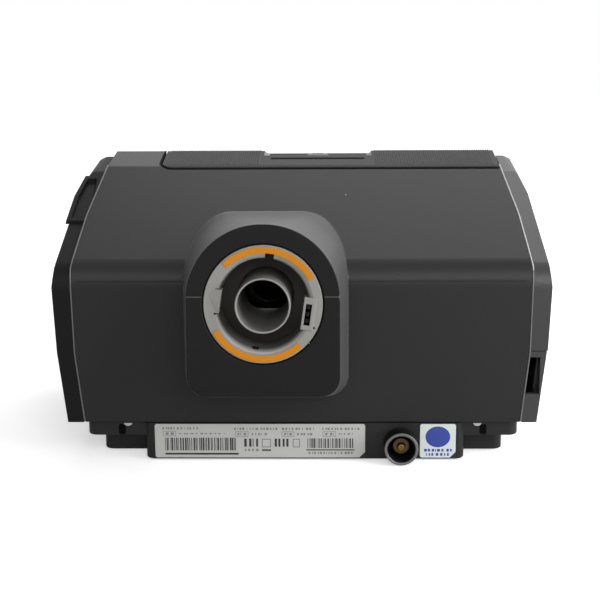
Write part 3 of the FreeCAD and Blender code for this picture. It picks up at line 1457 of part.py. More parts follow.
def buttons():
    """Home button on the front, start button in the crown's recess, their switches and the control board."""
    z = dim.dial_height
    flange_y = front_y + dim.wall + dim.fit_gap
    flange_back = flange_y + dim.flange_height
    cap = rod_y("home_cap", dim.home_radius, home_x, (front_y - dim.button_proud, flange_back), z)
    flange = rod_y("home_flange", dim.home_radius + dim.flange, home_x, (flange_y, flange_back), z)
    keep(fuse("home_button", cap, flange), "home_button")
    start_x = dim.recess_middle
    flange_low = flange_top - dim.flange_height
    start_cap = rod("start_cap", dim.start_radius, recess_z + dim.button_proud - flange_low, start_x, start_y,
                    flange_low)
    start_flange = rod("start_flange", dim.start_radius + dim.flange, dim.flange_height, start_x, start_y,
                       flange_low)
    keep(fuse("start_button", start_cap, start_flange), "start_button")
    half = dim.switch_width / 2
    home_switch = box("home_switch", (home_x - half, home_x + half),
                      (flange_back + dim.button_travel + dim.fit_gap, control_y), (z - half, z + half))
    start_switch = box("start_switch", (start_x - half, start_x + half), (start_y - half, start_y + half),
                       (start_board_top, start_switch_top))
    keep(fuse("button_switches", home_switch, start_switch), "button_switches")
    board_up = dim.front_board_height / 2
    board = box("front_board", (control_x - control_half, control_x + control_half),
                (control_y, control_y + dim.board_thick), (z - board_up, z + board_up))
    board_half = dim.start_board_width / 2
    top_board = box("start_board", (start_x - board_half, start_x + board_half),
                    (start_y - half - dim.seam_gap, start_y + 2 * half + dim.seam_gap),
                    (start_board_top - dim.board_thick, start_board_top))
    keep(fuse("control_boards", board, top_board), "control_boards")


# ---------------------------------------------------------------- electronics

def electronics():
    """Main board with its parts, the card socket with a card in it, and the power inlet."""
    top = foot_z + dim.board_thick
    keep(box("main_board", (board_left, board_right), (board_front, board_rear), (foot_z, top)), "main_board")
    chips = []
    for number, (long, wide, tall, in_x, in_y) in enumerate(BOARD_PARTS):
        x = board_right - in_x
        y = board_rear - in_y
        chips.append(box(f"chip_{number}", (x - long / 2, x + long / 2), (y - wide / 2, y + wide / 2),
                         (top, top + tall)))
    keep(fuse("board_parts", *chips), "board_parts")
    gap = dim.fit_gap
    half = dim.card_width / 2
    card_z = (top + dim.card_height, top + dim.card_height + dim.card_thick)
    card_x = (board_left - dim.card_proud, board_left - dim.card_proud + dim.card_length)
    stop = card_x[1] + dim.card_travel + dim.seam_gap
    wall = dim.socket_wall
    socket = box("socket_case", (board_left, stop + wall),
                 (card_y - half - gap - wall, card_y + half + gap + wall), (top, card_z[1] + gap + wall))
    space = box("socket_space", (board_left - PAST, stop), (card_y - half - gap, card_y + half + gap),
                (card_z[0] - gap, card_z[1] + gap))
    keep(cut("card_socket", socket, space), "card_socket")
    keep(box("memory_card", card_x, (card_y - half, card_y + half), card_z), "memory_card")
    end = plinth_y + dim.inlet_proud
    floor = end - dim.inlet_depth
    z = dim.inlet_height
    barrel = rod_y("barrel_outer", dim.inlet_radius, inlet_x, (floor - dim.inlet_floor, end), z)
    barrel_space = rod_y("barrel_space", dim.inlet_bore, inlet_x, (floor, end + PAST), z)
    keep(cut("power_inlet", barrel, barrel_space), "power_inlet")
    pin_low = floor + dim.inlet_floor
    insulator = rod_y("insulator_rod", dim.pin_radius + dim.insulator_wall, inlet_x,
                      (floor, floor + dim.insulator_height), z)
    pin_bore = rod_y("insulator_bore", dim.pin_radius, inlet_x, (pin_low, end), z)
    keep(cut("inlet_insulator", insulator, pin_bore), "inlet_insulator")
    keep(rod_y("inlet_pin", dim.pin_radius, inlet_x, (pin_low, pin_low + dim.pin_height), z), "inlet_pin")


# ---------------------------------------------------------------- build, check and write

def build():
    """Build every sub-part."""
    rear_shell()
    top_panel()
    front_shell()
    end_covers()
    bottom_pan()
    feet_and_screws()
    outlet()
    bay_liner()
    tub()
    heater()
    air_inlet()
    blower()
    display()
    dial()
    buttons()
    electronics()
    doc.recompute()


def check():
    """Stop if any object failed, or if a sub-part has no valid shape."""
    failed = [item.Label for item in doc.Objects if {"Invalid", "Error"} & set(item.State)]
    for item in nodes:
        if item.Shape.isNull() or not item.Shape.isValid() or not item.Shape.Solids:
            failed.append(item.Label)
    if failed:
        raise RuntimeError("failed: " + ", ".join(failed))


def write():
    """Write each sub-part to its own STEP file."""
    os.makedirs("parts", exist_ok=True)
    for item in nodes:
        item.Shape.exportStep(f"parts/{item.Label}.step")
        print(f"{item.Label}: {len(item.Shape.Solids)} solid, {item.Shape.Volume / 1000:.2f} cm3")


build()
check()
write()
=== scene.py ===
"""Dress of the bedside breathing machine: finishes, softened shells, outlet, films and studio.

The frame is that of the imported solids: +Z is up, the display faces -Y, the air outlet faces +Y and the
water tub slides out along +X. Sizes of the sub-assemblies are in millimetres, and those of the finishes
and the studio are in metres.
"""

from __future__ import annotations

import json
import logging
import math
from dataclasses import dataclass, field
from enum import Enum
from typing import Sequence

import bmesh
import bpy
import numpy as np
from mathutils import Matrix, Vector
from mathutils.bvhtree import BVHTree

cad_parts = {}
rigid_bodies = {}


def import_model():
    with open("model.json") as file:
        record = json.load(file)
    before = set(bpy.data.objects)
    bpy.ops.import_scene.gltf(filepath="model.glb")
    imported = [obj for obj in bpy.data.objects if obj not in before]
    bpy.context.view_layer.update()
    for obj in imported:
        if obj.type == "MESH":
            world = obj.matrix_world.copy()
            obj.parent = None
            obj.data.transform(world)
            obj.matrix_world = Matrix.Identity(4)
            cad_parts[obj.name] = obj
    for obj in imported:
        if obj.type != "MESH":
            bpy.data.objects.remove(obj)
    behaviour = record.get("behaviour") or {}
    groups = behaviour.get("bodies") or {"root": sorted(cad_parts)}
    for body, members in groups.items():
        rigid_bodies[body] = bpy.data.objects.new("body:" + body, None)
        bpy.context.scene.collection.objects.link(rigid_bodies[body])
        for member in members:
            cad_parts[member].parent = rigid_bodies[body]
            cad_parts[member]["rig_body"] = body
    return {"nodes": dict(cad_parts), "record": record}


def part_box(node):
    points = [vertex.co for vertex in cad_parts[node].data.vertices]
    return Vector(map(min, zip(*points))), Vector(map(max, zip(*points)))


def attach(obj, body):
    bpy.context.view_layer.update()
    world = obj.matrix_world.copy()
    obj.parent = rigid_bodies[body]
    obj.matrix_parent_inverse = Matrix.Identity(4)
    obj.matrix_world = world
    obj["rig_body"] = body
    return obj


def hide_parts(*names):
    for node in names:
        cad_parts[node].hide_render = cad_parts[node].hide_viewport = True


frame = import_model()

LOG = logging.getLogger("breathing_machine")
MM = 0.001
# Points of a new piece that are nearer than MERGE become one, and edges shorter than THIN go.
MERGE = 0.002 * MM
THIN = 0.001 * MM

Colour = tuple[float, float, float]
Point = tuple[float, float, float]
Profile = tuple[tuple[float, float], ...]
Array = np.ndarray
Node = bpy.types.Node
Socket = bpy.types.NodeSocket
Value = float | Socket
Piece = bpy.types.Object

# Right, up and outwards for someone who faces that side of the machine.
REAR_SIDE: tuple[Point, Point, Point] = ((-1.0, 0.0, 0.0), (0.0, 0.0, 1.0), (0.0, 1.0, 0.0))
FRONT_SIDE: tuple[Point, Point, Point] = ((1.0, 0.0, 0.0), (0.0, 0.0, 1.0), (0.0, -1.0, 0.0))
TOP_SIDE: tuple[Point, Point, Point] = ((1.0, 0.0, 0.0), (0.0, 1.0, 0.0), (0.0, 0.0, 1.0))


class Slot(Enum):
    """The record's material slots."""

    CHARCOAL = "charcoal"
    BLACK = "black_plastic"
    WARM_GREY = "warm_grey"
    ORANGE = "orange"
    LABEL = "label_grey"
    TAG = "tag_white"
    RUBBER = "rubber"
    SEAL = "seal"
    CLEAR = "clear_tub"
    SMOKE = "smoke"
    STEEL = "steel"
    ALUMINIUM = "aluminium"
    BRASS = "brass"
    INSULATOR = "insulator"
    BEZEL = "bezel"
    INNER = "inner_plastic"
    FOAM = "foam"
    FILTER = "filter_media"
    BOARD = "board"
    CHIP = "chip"


class Trim(Enum):
    """Finishes that one place of a piece has beside its slot's own."""

    SATIN = "satin_hood_painted_sheen"
    FACE = "boss_face"
    CATCH = "catch_floor"
    CONTACT = "painted_shade_contact"
    INK = "black_ink"
    GREY_INK = "grey_ink"
    BLUE_INK = "blue_ink"
    KEY = "key_cap"
    SKIRT = "shaded_skirt"
    CUP = "painted_shade_cup"
    BEAD = "seam_bead"
    COVER = "painted_light_cover"
    LID = "lid_plastic"
    GLINT = "painted_glint"
    HOLLOW = "painted_shade_hollow"


class Effect(Enum):
    """Surface effects that several finishes share, each one node group."""

    GRAIN = "moulded_grain"
    SPECKS = "dust_specks"
    WEAR = "edge_wear"
    SCRATCHES = "fine_scratches"


class Wiring:
    """Adds nodes to one shader tree and joins them."""

    def __init__(self, tree: bpy.types.NodeTree) -> None:
        """Starts on an empty tree.

        Args:
            tree: the material's or group's node tree.
        """
        self.tree = tree
        self.tree.nodes.clear()

    def add(self, kind: str, inputs: dict | None = None, **settings: object) -> Node:
        """Adds one node.

        Args:
            kind: the node's type name.
            inputs: values or output sockets for its inputs, by name or place.
            settings: the node's own properties.

        Returns:
            The new node.
        """
        node = self.tree.nodes.new(kind)
        for name, value in settings.items():
            setattr(node, name, value)
        for name, value in (inputs or {}).items():
            if isinstance(value, Socket):
                self.tree.links.new(value, node.inputs[name])
            else:
                node.inputs[name].default_value = value
        return node

    def join(self, source: Socket, node: Node, name: str) -> None:
        """Links a socket to one named input of a node."""
        self.tree.links.new(source, node.inputs[name])

    def noise(self, place: Socket, scale: Value, detail: float) -> Socket:
        """Adds a noise of the given scale and detail and gives its value."""
        inputs = {"Vector": place, "Scale": scale, "Detail": detail}
        return self.add("ShaderNodeTexNoise", inputs).outputs[0]

    def math(self, operation: str, first: Value, second: Value = 0.0, third: Value = 0.0) -> Socket:
        """Adds one Math node.

        Args:
            operation: the operation's name.
            first: a number or a socket.
            second: a number or a socket.
            third: a number or a socket.

        Returns:
            Its result.
        """
        return self.add("ShaderNodeMath", {0: first, 1: second, 2: third}, operation=operation).outputs[0]

    def band(self, value: Socket, low: float, high: float, start: Value = 0.0, end: Value = 1.0) -> Socket:
        """Carries a value from low to high smoothly onto start to end.

        Args:
            value: the socket to map.
            low: the value that gives start.
            high: the value that gives end.
            start: the result at low.
            end: the result at high.

        Returns:
            The mapped value.
        """
        values = {"Value": value, "From Min": low, "From Max": high, "To Min": start, "To Max": end}
        return self.add("ShaderNodeMapRange", values, interpolation_type="SMOOTHSTEP").outputs[0]

    def mix(self, share: Value, first: Colour | Socket, second: Colour | Socket) -> Socket:
        """Mixes two colours.

        Args:
            share: how much of the second, 0 to 1.
            first: a colour or a socket.
            second: a colour or a socket.

        Returns:
            The mixed colour.
        """
        node = self.add("ShaderNodeMix", data_type="RGBA")
        for place, value in ((0, share), (6, first), (7, second)):
            if isinstance(value, Socket):
                self.tree.links.new(value, node.inputs[place])
            else:
                node.inputs[place].default_value = value if place == 0 else (*value[:3], 1.0)
        return node.outputs[2]

    def shown(self) -> tuple[Socket, Socket]:
        """Tells rays that show a surface from rays that light others.

        Returns:
            One where the camera sees the surface, straight or through something clear, and the same with
            mirrored rays added.
        """
        rays = self.add("ShaderNodeLightPath").outputs
        seen = self.math("MAXIMUM", rays["Is Camera Ray"], rays["Is Transmission Ray"])
        return seen, self.math("MAXIMUM", seen, rays["Is Glossy Ray"])

    def coordinates(self, stretch: Point = (1.0, 1.0, 1.0)) -> Socket:
        """Gives the place on the object in metres, stretched along each axis."""
        place = self.add("ShaderNodeTexCoord").outputs["Object"]
        return self.add("ShaderNodeMapping", {"Vector": place, "Scale": stretch}).outputs[0]


class Effects:
    """Builds each shared effect once and places it in materials.

    A band holds the two values of a texture between which the effect comes in.
    """

    finer: float = 2.6
    coarse_share: float = 0.65
    fine_share: float = 0.35
    tone_band: tuple[float, float] = (0.3, 0.7)
    speck_least: float = 0.012
    speck_spread: float = 0.05
    upward_band: tuple[float, float] = (-0.2, 0.9)
    dust_below: float = 0.35
    edge_band: tuple[float, float] = (0.995, 0.9)
    patch_band: tuple[float, float] = (0.42, 0.62)
    drawn_out: Point = (0.05, 1.0, 1.0)
    crest_band: tuple[float, float] = (0.6, 0.72)
    smudge_band: tuple[float, float] = (0.4, 0.7)

    def __init__(self) -> None:
        """Makes the four groups."""
        self.groups = {
            Effect.GRAIN: self._grain(),
            Effect.SPECKS: self._specks(),
            Effect.WEAR: self._wear(),
            Effect.SCRATCHES: self._scratches(),
        }

    @staticmethod
    def _start(effect: Effect, inputs: dict[str, float],
               outputs: Sequence[str]) -> tuple[Wiring, Node, Node]:
        """Starts a group with named sockets.

        Args:
            effect: which effect it is.
            inputs: default value of each input, by name.
            outputs: names of the outputs.

        Returns:
            The wiring, the input node and the output node.
        """
        tree = bpy.data.node_groups.new(effect.value, "ShaderNodeTree")
        kind = "NodeSocketFloat"
        for name, value in inputs.items():
            tree.interface.new_socket(name, in_out="INPUT", socket_type=kind).default_value = value
        for name in outputs:
            tree.interface.new_socket(name, in_out="OUTPUT", socket_type=kind)
        wiring = Wiring(tree)
        return wiring, wiring.add("NodeGroupInput"), wiring.add("NodeGroupOutput")

    def _grain(self) -> bpy.types.NodeTree:
        """Spark-eroded grain: rounded cells of two sizes, and a slow drift of tone.

        The height is a share of the cells' smooth distance plus a share of a finer noise.

        Returns:
            The group.
        """
        wiring, given, result = self._start(Effect.GRAIN, {"Cells": 2400.0, "Drift": 18.0},
                                            ("Height", "Tone"))
        place = wiring.coordinates()
        cells = wiring.add("ShaderNodeTexVoronoi", {"Vector": place, "Scale": given.outputs["Cells"]},
                           feature="SMOOTH_F1")
        finer = wiring.math("MULTIPLY", given.outputs["Cells"], self.finer)
        coarse = wiring.math("MULTIPLY", cells.outputs["Distance"], self.coarse_share)
        height = wiring.math("MULTIPLY_ADD", wiring.noise(place, finer, 1.0), self.fine_share, coarse)
        drift = wiring.noise(place, given.outputs["Drift"], 3.0)
        wiring.join(height, result, "Height")
        wiring.join(wiring.band(drift, *self.tone_band), result, "Tone")
        return wiring.tree

    def _specks(self) -> bpy.types.NodeTree:
        """Dust: small discs in a random share of cells, more of them on surfaces that face up.

        Returns:
            The group.
        """
        wiring, given, result = self._start(Effect.SPECKS, {"Cells": 160.0, "Share": 0.1}, ("Mask",))
        cells = wiring.add("ShaderNodeTexVoronoi", {"Vector": wiring.coordinates(),
                                                    "Scale": given.outputs["Cells"]})
        chance = wiring.add("ShaderNodeSeparateColor", {"Color": cells.outputs["Color"]})
        size = wiring.math("MULTIPLY_ADD", chance.outputs["Green"], self.speck_spread, self.speck_least)
        disc = wiring.math("LESS_THAN", cells.outputs["Distance"], size)
        true = wiring.add("ShaderNodeNewGeometry").outputs["Normal"]
        normal = wiring.add("ShaderNodeSeparateXYZ", {0: true})
        facing = wiring.band(normal.outputs["Z"], *self.upward_band, self.dust_below)
        share = wiring.math("MULTIPLY", given.outputs["Share"], facing)
        kept = wiring.math("LESS_THAN", chance.outputs["Red"], share)
        wiring.join(wiring.math("MULTIPLY", disc, kept), result, "Mask")
        return wiring.tree

    def _wear(self) -> bpy.types.NodeTree:
        """Edge wear: where the rounded normal leaves the true one, broken up by a noise.

        Returns:
            The group.
        """
        wiring, given, result = self._start(Effect.WEAR, {"Radius": 0.0006, "Patches": 120.0}, ("Mask",))
        rounded = wiring.add("ShaderNodeBevel", {"Radius": given.outputs["Radius"]}, samples=4)
        true = wiring.add("ShaderNodeNewGeometry").outputs["Normal"]
        match = wiring.add("ShaderNodeVectorMath", {0: rounded.outputs[0], 1: true},
                           operation="DOT_PRODUCT")
        edge = wiring.band(match.outputs["Value"], *self.edge_band)
        patches = wiring.noise(wiring.coordinates(), given.outputs["Patches"], 4.0)
        broken = wiring.band(patches, *self.patch_band)
        wiring.join(wiring.math("MULTIPLY", edge, broken), result, "Mask")
        return wiring.tree

    def _scratches(self) -> bpy.types.NodeTree:
        """Fine scratches: thin crests of a noise that is drawn out along one axis, and slow smudges.

        Returns:
            The group.
        """
        wiring, given, result = self._start(Effect.SCRATCHES, {"Lines": 900.0, "Smudge": 30.0},
                                            ("Lines", "Smudge"))
        crests = wiring.noise(wiring.coordinates(self.drawn_out), given.outputs["Lines"], 2.0)
        wiring.join(wiring.band(crests, *self.crest_band), result, "Lines")
        smudge = wiring.noise(wiring.coordinates(), given.outputs["Smudge"], 5.0)
        wiring.join(wiring.band(smudge, *self.smudge_band), result, "Smudge")
        return wiring.tree

    def place(self, wiring: Wiring, effect: Effect, **values: float) -> Node:
        """Places one effect in a material.

        Args:
            wiring: the material's wiring.
            effect: which effect.
            values: the material's own values for its inputs.

        Returns:
            The group node.
        """
        node = wiring.add("ShaderNodeGroup", node_tree=self.groups[effect])
        for name, value in values.items():
            node.inputs[name].default_value = value
        return node


def scaled(colour: Colour, factor: float) -> Colour:
    """Returns the colour lightened or darkened by a factor."""
    return tuple(min(1.0, part * factor) for part in colour)


@dataclass(frozen=True)
class Finish:
    """A finish with the values that every kind shares."""

    name: str
    colour: Colour
    roughness: float = 0.5

    def material(self, effects: Effects) -> bpy.types.Material:
        """Builds the material.

        Args:
            effects: the shared effects.

        Returns:
            The new material.
        """
        made = bpy.data.materials.new(self.name)
        made.use_nodes = True
        wiring = Wiring(made.node_tree)
        shader = wiring.add("ShaderNodeBsdfPrincipled", {"Roughness": self.roughness})
        wiring.add("ShaderNodeOutputMaterial", {"Surface": shader.outputs[0]})
        self.wire(wiring, shader, effects)
        return made

    def wire(self, wiring: Wiring, shader: Node, effects: Effects) -> None:
        """Joins the finish's own nodes to the shader."""
        raise NotImplementedError

    @staticmethod
    def relief(wiring: Wiring, shader: Node, height: Socket, depth: float) -> None:
        """Turns a height into a bump of the given depth on the shader."""
        bump = wiring.add("ShaderNodeBump", {"Height": height, "Distance": depth, "Strength": 1.0})
        wiring.join(bump.outputs[0], shader, "Normal")


@dataclass(frozen=True)
class Moulded(Finish):
    """Injection-moulded plastic with a spark-eroded grain, dust and worn edges."""

    cells: float = 2400.0
    depth: float = 0.00002
    drift: float = 0.06
    wear: float = 0.25
    dust: float = 0.05
    specular: float = 0.5
    height_band: tuple[float, float] = (0.1, 0.7)
    rougher: float = 0.07
    smoother: float = 0.05
    worn_brightness: float = 2.4
    worn_polish: float = 0.12
    dust_strength: float = 0.7
    dust_colour: Colour = (0.55, 0.54, 0.52)

    def wire(self, wiring: Wiring, shader: Node, effects: Effects) -> None:
        """Joins grain, tone, wear and dust to the shader.

        Args:
            wiring: the material's wiring.
            shader: its shader.
            effects: the shared effects.
        """
        grain = effects.place(wiring, Effect.GRAIN, Cells=self.cells)
        darker, lighter = scaled(self.colour, 1 - self.drift), scaled(self.colour, 1 + self.drift)
        colour = wiring.mix(grain.outputs["Tone"], darker, lighter)
        worn = effects.place(wiring, Effect.WEAR)
        amount = wiring.math("MULTIPLY", worn.outputs["Mask"], self.wear)
        colour = wiring.mix(amount, colour, scaled(self.colour, self.worn_brightness))
        specks = effects.place(wiring, Effect.SPECKS, Share=self.dust)
        dusty = wiring.math("MULTIPLY", specks.outputs["Mask"], self.dust_strength)
        colour = wiring.mix(dusty, colour, self.dust_colour)
        wiring.join(colour, shader, "Base Color")
        rough = wiring.band(grain.outputs["Height"], *self.height_band, self.roughness - self.smoother,
                            self.roughness + self.rougher)
        wiring.join(wiring.math("MULTIPLY_ADD", amount, -self.worn_polish, rough), shader, "Roughness")
        shader.inputs["Specular IOR Level"].default_value = self.specular
        self.relief(wiring, shader, grain.outputs["Height"], self.depth)


@dataclass(frozen=True)
class Scratched(Finish):
    """Hard, smooth surface with smudges and fine scratches."""

    smudge_blur: float = 0.06
    line_blur: float = 0.08
    depth: float = 0.000001

    def scratch(self, wiring: Wiring, shader: Node, marks: Node) -> None:
        """Roughens the shader where smudges and scratches lie, and sinks the scratches into it.

        Args:
            wiring: the material's wiring.
            shader: its shader.
            marks: the placed scratches.
        """
        smudged = wiring.math("MULTIPLY_ADD", marks.outputs["Smudge"], self.smudge_blur, self.roughness)
        rough = wiring.math("MULTIPLY_ADD", marks.outputs["Lines"], self.line_blur, smudged)
        wiring.join(rough, shader, "Roughness")
        self.relief(wiring, shader, marks.outputs["Lines"], self.depth)


@dataclass(frozen=True)
class Clear(Scratched):
    """Clear or smoked plastic."""

    index: float = 1.49

    def wire(self, wiring: Wiring, shader: Node, effects: Effects) -> None:
        """Joins scratches and smudges to a transmitting shader.

        Args:
            wiring: the material's wiring.
            shader: its shader.
            effects: the shared effects.
        """
        marks = effects.place(wiring, Effect.SCRATCHES)
        shader.inputs["Base Color"].default_value = (*self.colour, 1.0)
        shader.inputs["Transmission Weight"].default_value = 1.0
        shader.inputs["IOR"].default_value = self.index
        self.scratch(wiring, shader, marks)


@dataclass(frozen=True)
class Gloss(Scratched):
    """Polished dark plastic under a hard coat."""

    smudge_blur: float = 0.1
    line_blur: float = 0.2
    depth: float = 0.000003
    smudge_tone: float = 1.35
    coat: float = 0.6
    coat_roughness: float = 0.05

    def wire(self, wiring: Wiring, shader: Node, effects: Effects) -> None:
        """Joins smudges and scratches to a coated shader.

        Args:
            wiring: the material's wiring.
            shader: its shader.
            effects: the shared effects.
        """
        marks = effects.place(wiring, Effect.SCRATCHES)
        tone = wiring.mix(marks.outputs["Smudge"], self.colour, scaled(self.colour, self.smudge_tone))
        wiring.join(tone, shader, "Base Color")
        shader.inputs["Coat Weight"].default_value = self.coat
        shader.inputs["Coat Roughness"].default_value = self.coat_roughness
        self.scratch(wiring, shader, marks)


@dataclass(frozen=True)
class Metal(Scratched):
    """Brushed or plated metal."""

    smudge_blur: float = 0.0
    line_blur: float = 0.22
    depth: float = 0.000006
    lines: float = 1600.0
    patches: float = 60.0
    tarnish: float = 0.72

    def wire(self, wiring: Wiring, shader: Node, effects: Effects) -> None:
        """Joins brushed lines and a film of tarnish to a metal shader.

        Args:
            wiring: the material's wiring.
            shader: its shader.
            effects: the shared effects.
        """
        marks = effects.place(wiring, Effect.SCRATCHES, Lines=self.lines, Smudge=self.patches)
        tone = wiring.mix(marks.outputs["Smudge"], self.colour, scaled(self.colour, self.tarnish))
        wiring.join(tone, shader, "Base Color")
        shader.inputs["Metallic"].default_value = 1.0
        self.scratch(wiring, shader, marks)


@dataclass(frozen=True)
class Fibre(Finish):
    """Open foam or matted fibre."""

    pores: float = 700.0
    depth: float = 0.0006
    drift: float = 40.0
    pore_band: tuple[float, float] = (0.15, 0.55)
    rim_tone: float = 1.15
    pore_shade: float = 0.45

    def wire(self, wiring: Wiring, shader: Node, effects: Effects) -> None:
        """Joins pores, dark inside as painted shade and pale at their rims, to the shader.

        Args:
            wiring: the material's wiring.
            shader: its shader.
            effects: the shared effects.
        """
        grain = effects.place(wiring, Effect.GRAIN, Cells=self.pores, Drift=self.drift)
        deep = wiring.band(grain.outputs["Height"], *self.pore_band)
        colour = wiring.mix(deep, scaled(self.colour, self.rim_tone), scaled(self.colour, self.pore_shade))
        wiring.join(colour, shader, "Base Color")
        inverse = wiring.math("SUBTRACT", 1.0, deep)
        self.relief(wiring, shader, inverse, self.depth)


@dataclass(frozen=True)
class Circuit(Finish):
    """Solder mask over copper runs."""

    cells: float = 1500.0
    drift: float = 90.0
    runs_scale: float = 210.0
    run_width: float = 0.045
    run_brightness: float = 2.2
    depth: float = 0.00003

    def wire(self, wiring: Wiring, shader: Node, effects: Effects) -> None:
        """Joins a grid of runs, brighter than the mask between them, to the shader.

        Args:
            wiring: the material's wiring.
            shader: its shader.
            effects: the shared effects.
        """
        grain = effects.place(wiring, Effect.GRAIN, Cells=self.cells, Drift=self.drift)
        bricks = wiring.add("ShaderNodeTexBrick", {"Vector": wiring.coordinates(), "Scale": self.runs_scale,
                                                   "Mortar Size": self.run_width, "Color1": (0, 0, 0, 1),
                                                   "Color2": (0.2, 0.2, 0.2, 1), "Mortar": (1, 1, 1, 1)})
        runs = wiring.math("MULTIPLY", bricks.outputs["Color"], grain.outputs["Tone"])
        colour = wiring.mix(runs, self.colour, scaled(self.colour, self.run_brightness))
        wiring.join(colour, shader, "Base Color")
        self.relief(wiring, shader, runs, self.depth)


# Values that several finishes share.
FINE_GRAIN = {"cells": 3000.0, "depth": 0.00001}
POLISHED = {"cells": 3000.0, "depth": 0.000006, "wear": 0.0}
FILM = {"cells": 1800.0, "depth": 0.000006, "drift": 0.02, "wear": 0.0}
PRINT = {"cells": 2600.0, "depth": 0.000004, "wear": 0.0, "dust": 0.0}

FINISHES: dict[Slot | Trim, Finish] = {
    Slot.CHARCOAL: Moulded("charcoal_plastic", (0.0125, 0.0125, 0.013), 0.42, specular=0.23),
    Slot.BLACK: Moulded("black_plastic", (0.006, 0.006, 0.006), 0.45, specular=0.10, wear=0.15),
    Slot.WARM_GREY: Moulded("warm_grey_plastic", (0.20, 0.196, 0.184), 0.34, **FINE_GRAIN, drift=0.04,
                            wear=0.1, dust=0.02),
    Slot.ORANGE: Moulded("orange_inlay", (0.46, 0.165, 0.003), 0.42, **FINE_GRAIN, drift=0.04, wear=0.05,
                         dust=0.02, specular=0.2),
    Slot.LABEL: Moulded("label_film", (0.41, 0.41, 0.395), 0.36, **FILM, dust=0.02),
    Slot.TAG: Moulded("tag_film", (0.54, 0.585, 0.58), 0.34, **FILM, dust=0.01),
    Slot.RUBBER: Moulded("black_rubber", (0.018, 0.018, 0.018), 0.72, cells=1500.0, depth=0.00003,
                         dust=0.2),
    Slot.SEAL: Moulded("grey_silicone", (0.42, 0.42, 0.43), 0.5, cells=900.0, depth=0.00001, wear=0.0),
    Slot.CLEAR: Clear("clear_tub_plastic", (0.90, 0.94, 0.96), 0.04),
    Slot.SMOKE: Clear("smoked_window", (0.06, 0.06, 0.07), 0.05),
    Slot.STEEL: Metal("brushed_steel", (0.56, 0.56, 0.57), 0.28),
    Slot.ALUMINIUM: Metal("anodised_plate", (0.70, 0.70, 0.72), 0.36, lines=900.0),
    Slot.BRASS: Metal("bright_brass", (0.22, 0.145, 0.04), 0.34),
    Slot.INSULATOR: Moulded("brown_insulator", (0.060, 0.032, 0.010), 0.42, dust=0.0),
    Slot.BEZEL: Gloss("gloss_bezel", (0.012, 0.012, 0.013), 0.12),
    Slot.INNER: Moulded("light_inner_plastic", (0.40, 0.40, 0.39), 0.46, wear=0.05),
    Slot.FOAM: Fibre("charcoal_foam", (0.11, 0.11, 0.115), 0.9),
    Slot.FILTER: Fibre("white_fibre_pad", (0.62, 0.63, 0.65), 0.95, pores=1600.0, depth=0.0003),
    Slot.BOARD: Circuit("green_board", (0.02, 0.13, 0.055), 0.35),
    Slot.CHIP: Moulded("chip_resin", (0.02, 0.02, 0.021), 0.55, wear=0.1, dust=0.0),
    # Satin hood: a smoother, glossier finish, with a colour lighter than the charcoal that is painted sheen.
    Trim.SATIN: Moulded("satin_hood_painted_sheen", (0.060, 0.060, 0.061), 0.38, cells=3200.0, depth=0.000008, drift=0.03,
                        wear=0.2, dust=0.03, specular=0.42),
    Trim.FACE: Moulded("boss_face", (0.0072, 0.0072, 0.0075), 0.5, cells=1700.0, depth=0.00004, wear=0.3,
                       dust=0.04, specular=0.10),
    Trim.CATCH: Moulded("catch_floor", (0.020, 0.020, 0.021), 0.42, wear=0.1, dust=0.05),
    # Contacts: near black as painted shade in their slot, in place of their brass.
    Trim.CONTACT: Moulded("painted_shade_contact", (0.010, 0.008, 0.006), 0.5, wear=0.3, dust=0.0, specular=0.2),
    Trim.INK: Moulded("black_ink", (0.014, 0.014, 0.015), 0.5, **PRINT),
    Trim.GREY_INK: Moulded("grey_ink", (0.16, 0.16, 0.16), 0.5, **PRINT),
    Trim.BLUE_INK: Moulded("blue_ink", (0.022, 0.042, 0.25), 0.42, **PRINT),
    Trim.KEY: Moulded("key_cap", (0.035, 0.035, 0.036), 0.34, **FINE_GRAIN, wear=0.2, dust=0.05),
    # Skirt: the warm grey darkened as painted shade behind the ring.
    Trim.SKIRT: Moulded("shaded_skirt", (0.085, 0.085, 0.08), 0.45, **FINE_GRAIN, wear=0.0, dust=0.02),
    # Cup: the warm grey darkened and browned as painted shade deep in the outlet.
    Trim.CUP: Moulded("painted_shade_cup", (0.055, 0.044, 0.036), 0.45, wear=0.0, dust=0.0, specular=0.3),
    # Bead: light grey as a painted highlight along seams, rims and bevels.
    Trim.BEAD: Moulded("seam_bead", (0.11, 0.11, 0.11), 0.32, **POLISHED, dust=0.02),
    # Cover: lighter than the charcoal, as painted light from the lamps on the right.
    Trim.COVER: Moulded("painted_light_cover", (0.024, 0.024, 0.0235), 0.38, specular=0.42),
    Trim.LID: Moulded("lid_plastic", (0.030, 0.030, 0.0305), 0.5, wear=0.2, specular=0.10),
    # Near black for joints, grooves, holes and slot walls: painted shade.
    Trim.HOLLOW: Moulded("painted_shade_hollow", (0.002, 0.002, 0.002), 0.8, wear=0.0, dust=0.0, specular=0.05),
    # Glint: near white, a painted highlight on the -X bead above the ridge; the base lugs take it too.
    Trim.GLINT: Moulded("painted_glint", (0.42, 0.42, 0.41), 0.35, **POLISHED, dust=0.0),
}


